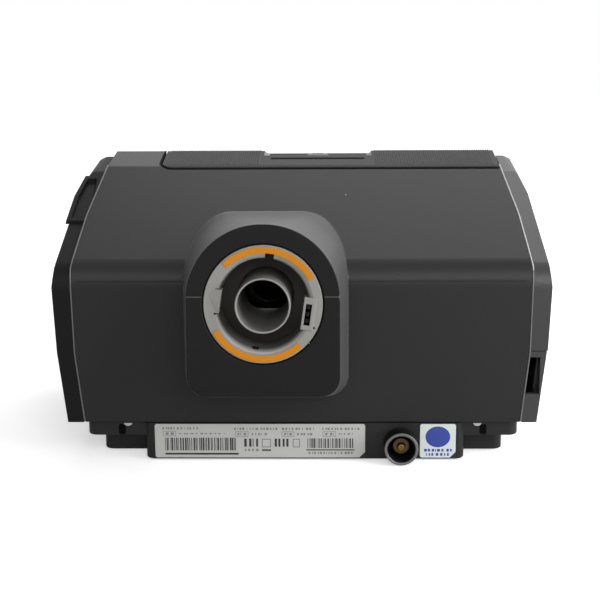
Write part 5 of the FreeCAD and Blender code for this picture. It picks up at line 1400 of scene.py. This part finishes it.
@dataclass
class Outlet:
    """The grey ring with its collar, marks, blocks and tube."""

    block_proud: float = 0.6
    turn: float = 8.0
    notch_half: float = 5.3
    stations: int = 60
    collar_ends: tuple[float, float, float, float] = (4.0, 160.5, 192.0, 332.5)
    cone: Profile = ((19.75, -0.2), (19.2, -0.3), (18.7, -0.6), (18.35, -1.2), (18.3, -2.2), (19.0, -2.9),
                     (19.75, -2.9))
    skirt: Profile = ((18.5, -2.0), (18.1, -2.3), (17.3, -15.0), (17.7, -15.3), (18.6, -15.0), (18.9, -2.6))
    window: Profile = ((18.6, -1.4), (18.1, -1.5), (17.7, -4.6), (18.6, -4.8))
    window_ends: tuple[float, float] = (256.0, 264.0)
    window_stations: int = 12
    slot: Profile = ((16.8, -5.8), (19.2, 2.7))
    pin_at: tuple[float, float] = (20.0, -9.4)
    pin_radius: float = 0.45
    pin_depth: tuple[float, float] = (-0.3, 0.03)
    facet: Profile = ((-21.7, 4.9), (-16.6, 6.0), (-17.4, -3.0))
    facet_proud: Point = (0.05, 0.6, 0.6)
    facet_back: float = -0.4
    rounding: dict[str, float] = field(default_factory=lambda: {
        "outlet_cup": 0.4, "outlet_ring": 0.25, "ring_marks": 0.12, "outlet_tube": 0.55,
    })

    def build(self, shop: Workshop) -> None:
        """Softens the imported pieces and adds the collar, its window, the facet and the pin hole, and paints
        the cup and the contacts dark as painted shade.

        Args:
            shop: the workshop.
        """
        for node, width in self.rounding.items():
            shop.soften(node, width, segments=4)
        seat = outlet_seat()
        self._collar(shop, seat)
        self._facet(shop, seat)
        # The pin hole is a black disc: painted shade in the hole.
        hole = rounded_outline(self.pin_radius, self.pin_radius, self.pin_radius) + np.array(self.pin_at)
        shop.finish_piece(pill("pin_hole", seat, hole, *self.pin_depth), Slot.BLACK, "root")
        self._slot(shop, seat.turned(self.turn))
        # The cup is painted dark as shade deep in the outlet.
        shop.paint(bpy.data.objects["outlet_cup_soft"], Trim.CUP)
        # The contacts are painted near black as shade in their slot.
        shop.paint(frame["nodes"]["contact_pins"], Trim.CONTACT)
        shop.dressed.add("contact_pins")

    def _slot(self, shop: Workshop, seat: Seat) -> None:
        """Paints the walls of the contacts' slot in the right block near black as painted shade.

        Args:
            shop: the workshop.
            seat: the outlet ring's seat.
        """
        ring = bpy.data.objects["outlet_ring_soft"]
        middles, _ = faces_of(ring)
        away = middles - np.array(seat.origin) / MM
        right, up, out = (away @ np.array(axis) for axis in (seat.right, seat.up, seat.out))
        low, high = self.slot
        within = (right > low[0]) & (right < high[0]) & (up > low[1]) & (up < high[1])
        shop.paint_part(ring, Trim.HOLLOW, within & (out < self.block_proud - 0.1))

    def _collar(self, shop: Workshop, seat: Seat) -> None:
        """Adds the lead-in cone inside the ring and the skirt behind it, but not at the notch and blocks; the
        skirt is the warm grey darkened as painted shade.

        Args:
            shop: the workshop.
            seat: the outlet ring's seat.
        """
        cone, skirt, window = (np.array(profile) for profile in (self.cone, self.skirt, self.window))
        top = 90.0 - self.turn
        ends = self.collar_ends
        stretches = (("collar_right", ends[0], top - self.notch_half),
                     ("collar_left", top + self.notch_half, ends[1]), ("collar_low", ends[2], ends[3]))
        for name, start, end in stretches:
            lead = arc_band(name, seat, cone, start, end, self.stations)
            shop.finish_piece(lead, Slot.WARM_GREY, "root")
            # The skirt takes the warm grey darkened as painted shade.
            behind = arc_band(f"{name}_skirt", seat, skirt, start, end, self.stations)
            shop.finish_piece(behind, Slot.WARM_GREY, "root", look=Trim.SKIRT)
        piece = arc_band("collar_window", seat, window, *self.window_ends, self.window_stations)
        shop.finish_piece(piece, Slot.BLACK, "root")

    def _facet(self, shop: Workshop, seat: Seat) -> None:
        """Adds the three-cornered ramp on the left block, proud at the block's inner edge.

        Args:
            shop: the workshop.
            seat: the outlet ring's seat.
        """
        right, up = np.array(self.facet).T
        points = np.concatenate((seat.at(right, up, self.facet_proud), seat.at(right, up, self.facet_back)))
        sides = [(0, 1, 2), (3, 4, 5), (0, 1, 4, 3), (1, 2, 5, 4), (2, 0, 3, 5)]
        mesh = bpy.data.meshes.new("block_facet")
        mesh.from_pydata(points, [], sides)
        shape = bmesh.new()
        shape.from_mesh(mesh)
        bmesh.ops.recalc_face_normals(shape, faces=shape.faces)
        shape.to_mesh(mesh)
        shape.free()
        shop.finish_piece(bpy.data.objects.new("block_facet", mesh), Slot.WARM_GREY, "root")


@dataclass
class TopPanel:
    """Ribs along the lid's two flat stretches, and the start key in the dip between them."""

    rib_pitch: float = 1.0
    rib_height: float = 0.34
    rib_cells: int = 6
    stations: int = 24
    margins: tuple[float, float] = (1.0, 1.6)
    border: float = 1.5
    rib_foot: float = 0.015
    rib_root: float = -0.4
    left: tuple[float, float] = (19.4, 60.2)
    right: tuple[float, float] = (-83.6, -31.8)
    dip: tuple[float, float] = (-28.0, 15.6)
    dip_floor: float = 113.8
    ramp: float = 2.2
    ramp_lean: float = 0.3
    groove: tuple[float, float] = (-32.4, -29.4)
    groove_at: float = 30.0
    groove_proud: float = 0.04
    groove_thick: float = 0.3
    corner: float = 4.5
    gap: tuple[float, float] = (5.0, 5.95)
    gap_end: float = -46.0
    gap_right: float = 2.6
    gap_proud: float = 0.06
    gap_thick: float = 0.4
    crown_fall: float = 0.0393
    slope_fall: float = 0.516
    key_flange: float = 0.8
    key_skirt: float = 1.0
    key_shoulder: float = 0.7
    key_rim: float = -0.05
    key_dome: float = 0.35

    def build(self, shop: Workshop) -> None:
        """Slopes the dip's ends and paints them lighter as a painted highlight, lays the ribs, the groove and
        the lid's joint, then turns the start key.

        Args:
            shop: the workshop.
        """
        self._ramps(shop)
        for name, span in (("ribs_left", self.left), ("ribs_right", self.right)):
            shop.finish_piece(self._ribs(name, span), Slot.CHARCOAL, "root", look=Trim.LID)
        self._groove(shop)
        self._gap_line(shop)
        self._start_key(shop)

    def _ramps(self, shop: Workshop) -> None:
        """Draws the upper edge of the dip's ends outwards, so that they slope, and paints them lighter as a
        painted highlight.

        Args:
            shop: the workshop.
        """
        panel = bpy.data.objects["top_panel_soft"]
        mesh = panel.data
        flat = np.empty(3 * len(mesh.vertices))
        mesh.vertices.foreach_get("co", flat)
        points = flat.reshape(-1, 3)
        upper = points[:, 2] > (self.dip_floor + 0.5) * MM
        for end, reach in zip(self.dip, (-self.ramp, self.ramp)):
            edge = upper & (np.abs(points[:, 0] - end * MM) < 0.1 * MM)
            points[edge, 0] += reach * MM
        mesh.vertices.foreach_set("co", points.ravel())
        mesh.update()
        middles, normals = faces_of(panel)
        sloped = (np.abs(normals[:, 0]) > self.ramp_lean) & (middles[:, 2] > self.dip_floor + 0.2)
        within = (middles[:, 0] > self.dip[0] - self.ramp) & (middles[:, 0] < self.dip[1] + self.ramp)
        shop.paint_part(panel, Trim.BEAD, sloped & within)

    def _groove(self, shop: Workshop) -> None:
        """Lays the groove behind the dip: a near-black strip of painted shadow under the dip's rear edge.

        Args:
            shop: the workshop.
        """
        stations = np.linspace(self.groove[0], self.groove[1], 5)
        height = surface_heights("top_panel", self.groove_at, stations)
        x = np.linspace(self.dip[0] + 1.0, self.dip[1] - 1.0, 40)
        grid_x, grid_y = np.broadcast_arrays(x[None, :], stations[:, None])
        grid_z = np.broadcast_to(height[:, None] + self.groove_proud, grid_x.shape)
        top = MM * np.stack((grid_x, grid_y, grid_z), axis=-1)
        bottom = top - np.array([0.0, 0.0, self.groove_thick * MM])
        shop.finish_piece(slab("dip_groove", top, bottom), Slot.BLACK, "root", look=Trim.HOLLOW)

    def _gap_line(self, shop: Workshop) -> None:
        """Lays the joint behind the lid and round its left rear corner: a near-black strip of painted shade.

        Between the gap's two radii the strip turns a quarter circle about the corner's centre, and goes on
        straight at both ends. Its height is the lower of the crown's and the rear slope's, which both fall
        evenly towards the rear.

        Args:
            shop: the workshop.
        """
        low, high = box_mm("top_panel")
        centre = high[:2] - self.corner
        turn = np.linspace(0, np.pi / 2, 16)
        around = np.stack((np.cos(turn), np.sin(turn)), axis=-1)
        arc = around[:, None] * np.array(self.gap)[None, :, None] + centre
        forward = np.linspace(self.gap_end - centre[1], 0, 8)[:-1, None, None] * np.array([0.0, 1.0])
        across = arc[-1:] + (low[0] + self.gap_right - centre[0], 0.0)
        path = np.concatenate((arc[:1] + forward, arc, across))
        past = path[..., 1] - Case.crown[0]
        fall = np.maximum(self.crown_fall * past, self.slope_fall * past)
        height = Case.crown[1] - fall + self.gap_proud
        top = MM * np.concatenate((path, height[..., None]), axis=-1)
        bottom = top - np.array([0.0, 0.0, self.gap_thick * MM])
        shop.finish_piece(slab("lid_joint", top, bottom), Slot.BLACK, "root", look=Trim.HOLLOW)

    def _ribs(self, name: str, span: tuple[float, float]) -> Piece:
        """Makes one field of ribs that run from front to rear.

        The face stands over the panel by half the rib's height times one less the cosine of the turn, which
        is one round for each pitch, and sinks into the panel along the field's border.

        Args:
            name: the field's name.
            span: its ends along X, in millimetres.

        Returns:
            The new piece.
        """
        low, high = box_mm("top_panel")
        y = np.linspace(low[1] + self.margins[0], high[1] - self.margins[1], self.stations)
        height = surface_heights("top_panel", 0.5 * (span[0] + span[1]), y)
        count = int(round((span[1] - span[0]) / self.rib_pitch))
        x = np.linspace(span[0], span[1], count * self.rib_cells + 1)
        wave = 0.5 * self.rib_height * (1 - np.cos(2 * np.pi * (x - span[0]) / self.rib_pitch))
        fade = np.clip(np.minimum(y - y[0], y[-1] - y) / self.border, 0, 1)
        lift = self.rib_foot + wave[None, :] * fade[:, None]
        grid = np.broadcast_arrays(x[None, :], y[:, None], height[:, None])
        root = MM * (np.stack(grid, axis=-1) + (0.0, 0.0, self.rib_root))
        top = MM * np.stack((grid[0], grid[1], grid[2] + lift), axis=-1)
        return slab(name, top, root)

    def _start_key(self, shop: Workshop) -> None:
        """Turns the start key: a skirt, a round shoulder and a shallow dome.

        Args:
            shop: the workshop.
        """
        low, high = box_mm("start_button")
        middle = (low + high) / 2
        seat = Seat((middle[0] * MM, middle[1] * MM, high[2] * MM), *TOP_SIDE)
        flange, deep = (high[0] - low[0]) / 2, low[2] - high[2]
        cap, round_off = flange - self.key_flange, self.key_shoulder
        bend = np.linspace(0, np.pi / 2, 6)
        shoulder = np.stack((cap - round_off + round_off * np.cos(bend),
                             self.key_rim - round_off + round_off * np.sin(bend)), axis=-1)
        share = np.linspace(1, 0, 7)[1:]
        rise = self.key_rim + self.key_dome * (1 - share ** 2)
        dome = np.stack(((cap - round_off) * share, rise), axis=-1)
        foot = np.array([(0, deep), (flange, deep), (flange, deep + self.key_skirt),
                         (cap, deep + self.key_skirt + 0.1)])
        key = lathe("start_key_cap", seat, np.concatenate((foot, shoulder, dome)), 64)
        shop.finish_piece(key, Slot.CHARCOAL, "start_key", "start_button", look=Trim.KEY)


def surface_heights(node: str, x: float, stations: Array) -> Array:
    """Finds how high a node's top lies at stations along Y.

    Args:
        node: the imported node.
        x: the place along X, in millimetres.
        stations: the places along Y.

    Returns:
        The heights in millimetres.
    """
    shape = bmesh.new()
    shape.from_mesh(frame["nodes"][node].data)
    finder = BVHTree.FromBMesh(shape)
    shape.free()
    above = box_mm(node)[1][2] + 5.0
    down = Vector((0.0, 0.0, -1.0))
    hits = [finder.ray_cast(Vector((x, y, above)) * MM, down)[0] for y in stations]
    return np.array([hit.z for hit in hits]) / MM


@dataclass
class Plates:
    """The rating label, the tag and their plain print.

    A row of print holds its left, right, bottom and top from the film's lower left corner. A field of bars
    adds how many bars it has and which random series they take, and a ruled box adds its line's width.
    """

    film_rounding: float = 0.06
    ink_proud: float = 0.035
    ink_back: float = -0.05
    seed: int = 11
    corner_cut: float = 2.6
    corner_over: float = 0.1
    corner_back: float = -0.2
    disc_at: tuple[float, float] = (7.5, 9.3)
    disc_half: tuple[float, float] = (5.2, 4.65)
    label_dark: tuple[tuple[float, ...], ...] = (
        (4.2, 34.0, 3.2, 8.9, 38, 0), (4.2, 35.2, 1.3, 2.1),
        (64.2, 83.4, 4.3, 8.6, 24, 1), (63.6, 84.0, 3.2, 3.7),
        (37.6, 43.4, 4.9, 8.5, 4, 2), (50.4, 56.2, 4.9, 8.5, 4, 3), (45.0, 48.8, 3.0, 3.7),
    )
    label_boxes: tuple[tuple[float, ...], ...] = (
        (3.4, 8.9, 9.6, 11.9, 0.22), (33.8, 39.4, 9.4, 11.7, 0.22), (53.4, 58.6, 9.4, 11.7, 0.22),
        (70.6, 76.2, 9.4, 11.7, 0.22), (45.0, 48.8, 4.6, 8.4, 0.35), (58.0, 61.0, 4.6, 8.4, 0.35),
    )
    label_grey: tuple[tuple[float, ...], ...] = (
        (3.2, 18.2, 12.6, 13.6, 12, 4), (33.4, 51.6, 12.4, 13.4, 14, 5), (53.4, 67.0, 12.4, 13.4, 10, 6),
        (70.4, 86.0, 12.4, 13.4, 12, 7), (10.2, 29.4, 10.4, 11.0, 11, 8), (40.8, 47.2, 10.0, 11.0, 5, 9),
        (59.8, 66.2, 10.0, 11.0, 5, 10), (77.4, 83.2, 10.2, 11.0, 5, 11), (64.6, 83.2, 1.6, 2.6, 15, 12),
        (37.8, 43.6, 2.9, 3.9, 4, 13), (4.6, 8.0, 10.2, 11.3, 2, 14), (34.8, 38.4, 10.0, 11.1, 3, 15),
        (54.4, 57.6, 10.0, 11.1, 3, 16), (71.6, 75.2, 10.0, 11.1, 3, 17),
    )
    tag_rows: tuple[tuple[float, ...], ...] = ((1.8, 13.4, 2.75, 3.95, 8, 20), (2.6, 12.2, 0.85, 2.05, 7, 21))

    def build(self, shop: Workshop) -> None:
        """Softens both films and prints them.

        Args:
            shop: the workshop.
        """
        for node in ("rating_label", "tag_plate"):
            shop.soften(node, self.film_rounding, segments=2)
        self._label_print(shop)
        self._tag_print(shop)
        self._cut_corners(shop)

    @staticmethod
    def _seat(node: str) -> Seat:
        """Gives the seat whose origin is a film's lower left corner, seen from behind."""
        low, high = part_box(node)
        return Seat((high[0], high[1], low[2]), *REAR_SIDE)

    def _spans(self, rows: Array) -> Array:
        """Adds the ink's back and face to rows of left, right, bottom and top."""
        ends = np.broadcast_to((self.ink_back, self.ink_proud), (len(rows), 2))
        return np.concatenate((np.asarray(rows, float), ends), axis=1)

    def _rows(self, print_rows: tuple[tuple[float, ...], ...]) -> Array:
        """Joins single strokes and fields of bars to rows of left, right, bottom and top."""
        return np.concatenate([self._bars(*row) if len(row) == 6 else np.array([row]) for row in print_rows])

    def _bars(self, left: float, right: float, bottom: float, top: float, count: int, shift: int) -> Array:
        """Spaces upright bars of uneven width between two ends.

        The bars' edges are the running sum of random steps, scaled to the span; every other step is ink.

        Args:
            left: where the first bar starts.
            right: where the last bar ends.
            bottom: the bars' foot.
            top: the bars' head.
            count: how many bars.
            shift: which random series to take.

        Returns:
            Rows of left, right, bottom and top.
        """
        steps = np.random.default_rng(self.seed + shift).uniform(0.4, 1.6, 2 * count - 1)
        edges = left + (right - left) * np.concatenate(([0.0], np.cumsum(steps) / steps.sum()))
        rows = np.stack((edges[0::2], edges[1::2]), axis=-1)
        ends = np.broadcast_to((bottom, top), (len(rows), 2))
        return np.concatenate((rows, ends), axis=1)

    @staticmethod
    def _frame_of(left: float, right: float, bottom: float, top: float, line: float) -> Array:
        """Gives the four strokes of a ruled box."""
        return np.array([(left, right, bottom, bottom + line), (left, right, top - line, top),
                         (left, left + line, bottom, top), (right - line, right, bottom, top)])

    def _cut_corners(self, shop: Workshop) -> None:
        """Covers each film's lower right corner with a three-cornered piece, so that it is cut across.

        Args:
            shop: the workshop.
        """
        cut, over = self.corner_cut, self.corner_over
        for node in ("rating_label", "tag_plate"):
            low, high = box_mm(node)
            width = high[0] - low[0]
            corner = np.array([(width + over, -over), (width + over, cut), (width - cut, -over)])
            piece = pill(f"{node}_corner", self._seat(node), corner, self.corner_back, self.ink_proud)
            shop.finish_piece(piece, Slot.BLACK, "root", look=Trim.LID)

    def _label_print(self, shop: Workshop) -> None:
        """Prints ruled boxes, fields of bars and rows of short strokes, with no lettering.

        Args:
            shop: the workshop.
        """
        seat = self._seat("rating_label")
        boxes = np.concatenate([self._frame_of(*box) for box in self.label_boxes])
        grey = np.concatenate((boxes, self._rows(self.label_grey)))
        for name, rows, ink in (("label_print_dark", self._rows(self.label_dark), Trim.INK),
                                ("label_print_grey", grey, Trim.GREY_INK)):
            piece = blocks(name, seat, self._spans(rows))
            shop.finish_piece(piece, Slot.BLACK, "root", look=ink)

    def _tag_print(self, shop: Workshop) -> None:
        """Prints a plain blue disc over two rows of short strokes.

        Args:
            shop: the workshop.
        """
        seat = self._seat("tag_plate")
        turn = np.linspace(0, 2 * np.pi, 64, endpoint=False)
        disc = np.array(self.disc_at) + np.stack((np.cos(turn), np.sin(turn)), axis=-1) * self.disc_half
        piece = pill("tag_disc", seat, disc, self.ink_back, self.ink_proud)
        shop.finish_piece(piece, Slot.BLACK, "root", look=Trim.BLUE_INK)
        strokes = blocks("tag_print", seat, self._spans(self._rows(self.tag_rows)))
        shop.finish_piece(strokes, Slot.BLACK, "root", look=Trim.BLUE_INK)


@dataclass
class PowerInlet:
    """The round power inlet, the collar at its root and the rim at its lip, lighter as a painted highlight.

    Both profiles hold pairs of distance past the barrel's radius and depth.
    """

    rounding: dict[str, float] = field(default_factory=lambda: {
        "power_inlet": 0.45, "inlet_insulator": 0.5, "inlet_pin": 0.4,
    })
    collar: Profile = ((-0.4, -0.5), (0.05, -0.5), (0.35, 0.2), (0.35, 0.9), (0.05, 1.3), (-0.4, 1.3))
    collar_ends: tuple[float, float] = (5.0, 175.0)
    rim: Profile = ((-1.05, -0.4), (-0.1, -0.5), (0.06, -0.4), (0.06, 0.0), (-0.15, 0.2), (-0.8, 0.2),
                    (-1.05, -0.02))

    def build(self, shop: Workshop) -> None:
        """Softens the barrel, insulator and pin and adds the collar and the rim.

        Args:
            shop: the workshop.
        """
        for node, width in self.rounding.items():
            shop.soften(node, width, segments=4)
        low, high = box_mm("power_inlet")
        middle = (low + high) / 2
        root = box_mm("rating_label")[0][1]
        foot, lip = (Seat((middle[0] * MM, y * MM, middle[2] * MM), *REAR_SIDE) for y in (root, high[1]))
        past = np.array([(high[0] - low[0]) / 2, 0.0])
        upper = arc_band("inlet_collar", foot, past + self.collar, *self.collar_ends, 64)
        shop.finish_piece(upper, Slot.BLACK, "root")
        rim = lathe("inlet_rim", lip, past + self.rim, 64)
        # The rim is lighter as a painted highlight on the lip.
        shop.finish_piece(rim, Slot.BLACK, "root", look=Trim.BEAD)


@dataclass
class Controls:
    """The dial, home key, display and tub window of the front.

    The dial's face and the home key's shoulder hold pairs of distance past the radius and depth, and the
    key's ring holds pairs of radius and depth.
    """

    rounding: dict[str, float] = field(default_factory=lambda: {
        "display_bezel": 0.35, "display_lens": 0.3, "tub_window": 0.4, "memory_card": 0.25,
        "card_socket": 0.2,
    })
    flutes: int = 48
    flute_depth: float = 0.22
    flute_shares: tuple[float, ...] = (0, 0.6, 1, 1, 0.7, 0.25, 0, 0, 0, 0, 0, 0)
    dial_chamfer: float = 0.6
    dial_face: Profile = ((0.0, -1.2), (-0.25, -0.55), (-0.8, -0.12), (-1.5, 0.0), (-2.2, -0.12),
                          (-3.0, -0.5), (-6.0, -0.9), (-10.0, -1.05))
    dial_middle: float = -1.1
    key_flange: float = 0.8
    key_skirt: float = 1.0
    key_shoulder: Profile = ((0.0, -0.5), (-0.15, -0.18), (-0.5, 0.0), (-1.0, -0.04))
    key_ring: Profile = ((2.6, -0.2), (2.4, -0.08), (2.1, -0.08), (1.9, -0.22), (0.0, -0.28))

    def build(self, shop: Workshop) -> None:
        """Dresses the front's controls.

        Args:
            shop: the workshop.
        """
        for node, width in self.rounding.items():
            shop.soften(node, width, segments=3)
        self._dial(shop)
        self._home_key(shop)

    @staticmethod
    def _front_seat(node: str) -> tuple[Seat, float, float]:
        """Gives the seat at a round part's outer face, its radius and its depth.

        Args:
            node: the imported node.

        Returns:
            The seat, and the radius and depth in millimetres.
        """
        low, high = box_mm(node)
        middle = (low + high) / 2
        seat = Seat((middle[0] * MM, low[1] * MM, middle[2] * MM), *FRONT_SIDE)
        return seat, (high[0] - low[0]) / 2, high[1] - low[1]

    def _dial(self, shop: Workshop) -> None:
        """Makes the dial: fluted round its rim, with a dished face.

        The rim's radius is less by the flutes' depth times the square of the cosine of half the flutes'
        number times the angle, and the flutes fade out over the face.

        Args:
            shop: the workshop.
        """
        seat, radius, deep = self._front_seat("dial_knob")
        chamfer = self.dial_chamfer
        back = np.array([(0.0, -deep), (radius - chamfer, -deep), (radius, -deep + chamfer)])
        face = np.array([radius, 0.0]) + self.dial_face
        profile = np.concatenate((back, face, [(0.0, self.dial_middle)]))
        turn = np.linspace(0, 2 * np.pi, 6 * self.flutes, endpoint=False)[:, None]
        wave = self.flute_depth * np.cos(0.5 * self.flutes * turn) ** 2
        reach = profile[:, 0] - wave * np.array(self.flute_shares)
        points = seat.at(reach * np.cos(turn), reach * np.sin(turn), profile[:, 1])
        dial = to_piece("dial_grip", points, quads(len(turn), len(profile), True, False))
        shop.finish_piece(dial, Slot.CHARCOAL, "dial", "dial_knob")

    def _home_key(self, shop: Workshop) -> None:
        """Makes the home key: a skirt and a shallow dish with a raised ring.

        Args:
            shop: the workshop.
        """
        seat, flange, deep = self._front_seat("home_button")
        cap = flange - self.key_flange
        foot = np.array([(0.0, -deep), (flange, -deep), (flange, -deep + self.key_skirt),
                         (cap, -deep + self.key_skirt + 0.1)])
        profile = np.concatenate((foot, np.array([cap, 0.0]) + self.key_shoulder, self.key_ring))
        key = lathe("home_key_cap", seat, profile, 64)
        shop.finish_piece(key, Slot.CHARCOAL, "home_key", "home_button", look=Trim.KEY)


@dataclass
class Catch:
    """The tub's catch: a black rim round a charcoal floor."""

    rounding: float = 0.25
    outward: float = 0.6
    upward: float = 0.2
    rim: float = 1.9
    head: float = 2.5

    def build(self, shop: Workshop) -> None:
        """Softens the catch and paints its sunk floor.

        Args:
            shop: the workshop.
        """
        catch = shop.soften("tub_catch", self.rounding, segments=3)
        middles, normals = faces_of(catch)
        sloped = (normals[:, 0] > self.outward) & (normals[:, 2] > self.upward)
        low, high = box_mm("tub_catch")
        inner = np.abs(middles[:, 1]) < (high[1] - low[1]) / 2 - self.rim
        shop.paint_part(catch, Trim.CATCH, sloped & inner & (middles[:, 2] < high[2] - self.head))


@dataclass
class Works:
    """What shows when the tub is out or a door is open: tub, plates, filter and inner casings."""

    rounding: dict[str, float] = field(default_factory=lambda: {
        "tub_base": 0.5, "tub_lid": 0.5, "tub_plate": 0.4, "air_baffle": 0.3, "lid_seal": 0.35,
        "bay_liner": 0.5, "heater_plate": 0.4, "heater_tray": 0.4, "outlet_seal": 0.4, "outlet_duct": 0.4,
        "filter_grille": 0.2, "blower_base": 0.5, "blower_cover": 0.5, "muffler_box": 0.5, "impeller": 0.12,
        "case_screws": 0.2,
    })
    foam_rounding: float = 1.5
    pad_bow: float = 8.0
    pad_waves: tuple[int, int] = (9, 5)
    pad_quilt: float = 0.10
    pad_rim: float = 0.12
    pad_swell: float = 0.86
    pad_clear: float = 0.1

    def build(self, shop: Workshop) -> None:
        """Softens the casings and makes the foam and the filter pad.

        Args:
            shop: the workshop.
        """
        for node, width in self.rounding.items():
            shop.soften(node, width, segments=2)
        foam = shop.soften("muffler_foam", self.foam_rounding, segments=4)
        self._filter_pad(shop)

    def _filter_pad(self, shop: Workshop) -> Piece:
        """Makes the filter pad: two faces that bow apart from a pinched rim, with a faint quilting.

        Half the thickness is the product of the roots of one less each coordinate to a high power, times
        one less a little of the product of two cosines.

        Args:
            shop: the workshop.

        Returns:
            The new piece.
        """
        low, high = box_mm("air_filter")
        middle, half = (low + high) / 2, (high - low) / 2
        across, upward = np.meshgrid(np.linspace(-1, 1, 61), np.linspace(-1, 1, 41), indexing="ij")
        bow = np.sqrt(np.clip(1 - np.abs(across) ** self.pad_bow, 0, 1)
                      * np.clip(1 - np.abs(upward) ** self.pad_bow, 0, 1))
        waves = np.cos(self.pad_waves[0] * np.pi * across) * np.cos(self.pad_waves[1] * np.pi * upward)
        quilt = 1 - self.pad_quilt * (1 + waves) / 2
        thick = half[0] * (self.pad_rim + self.pad_swell * bow * quilt)
        seat = Seat(tuple(middle * MM), (0.0, 1.0, 0.0), (0.0, 0.0, 1.0), (-1.0, 0.0, 0.0))
        y, z = across * (half[1] - self.pad_clear), upward * (half[2] - self.pad_clear)
        face, back = seat.at(y, z, thick), seat.at(y, z, -thick)
        return shop.finish_piece(slab("filter_pad", face, back), Slot.FILTER, "root", "air_filter")


def main() -> None:
    """Builds the studio, then dresses each sub-assembly."""
    logging.basicConfig(level=logging.INFO, format="%(name)s: %(message)s")
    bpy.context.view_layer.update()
    Studio().build()
    shop = Workshop()
    for assembly in (Case(), Hood(), Outlet(), TopPanel(), Catch(), Plates(), PowerInlet(), Controls(),
                     Works()):
        assembly.build(shop)
        LOG.info("%s done", type(assembly).__name__)
    shop.paint_rest()


if __name__ == "__main__":
    main()
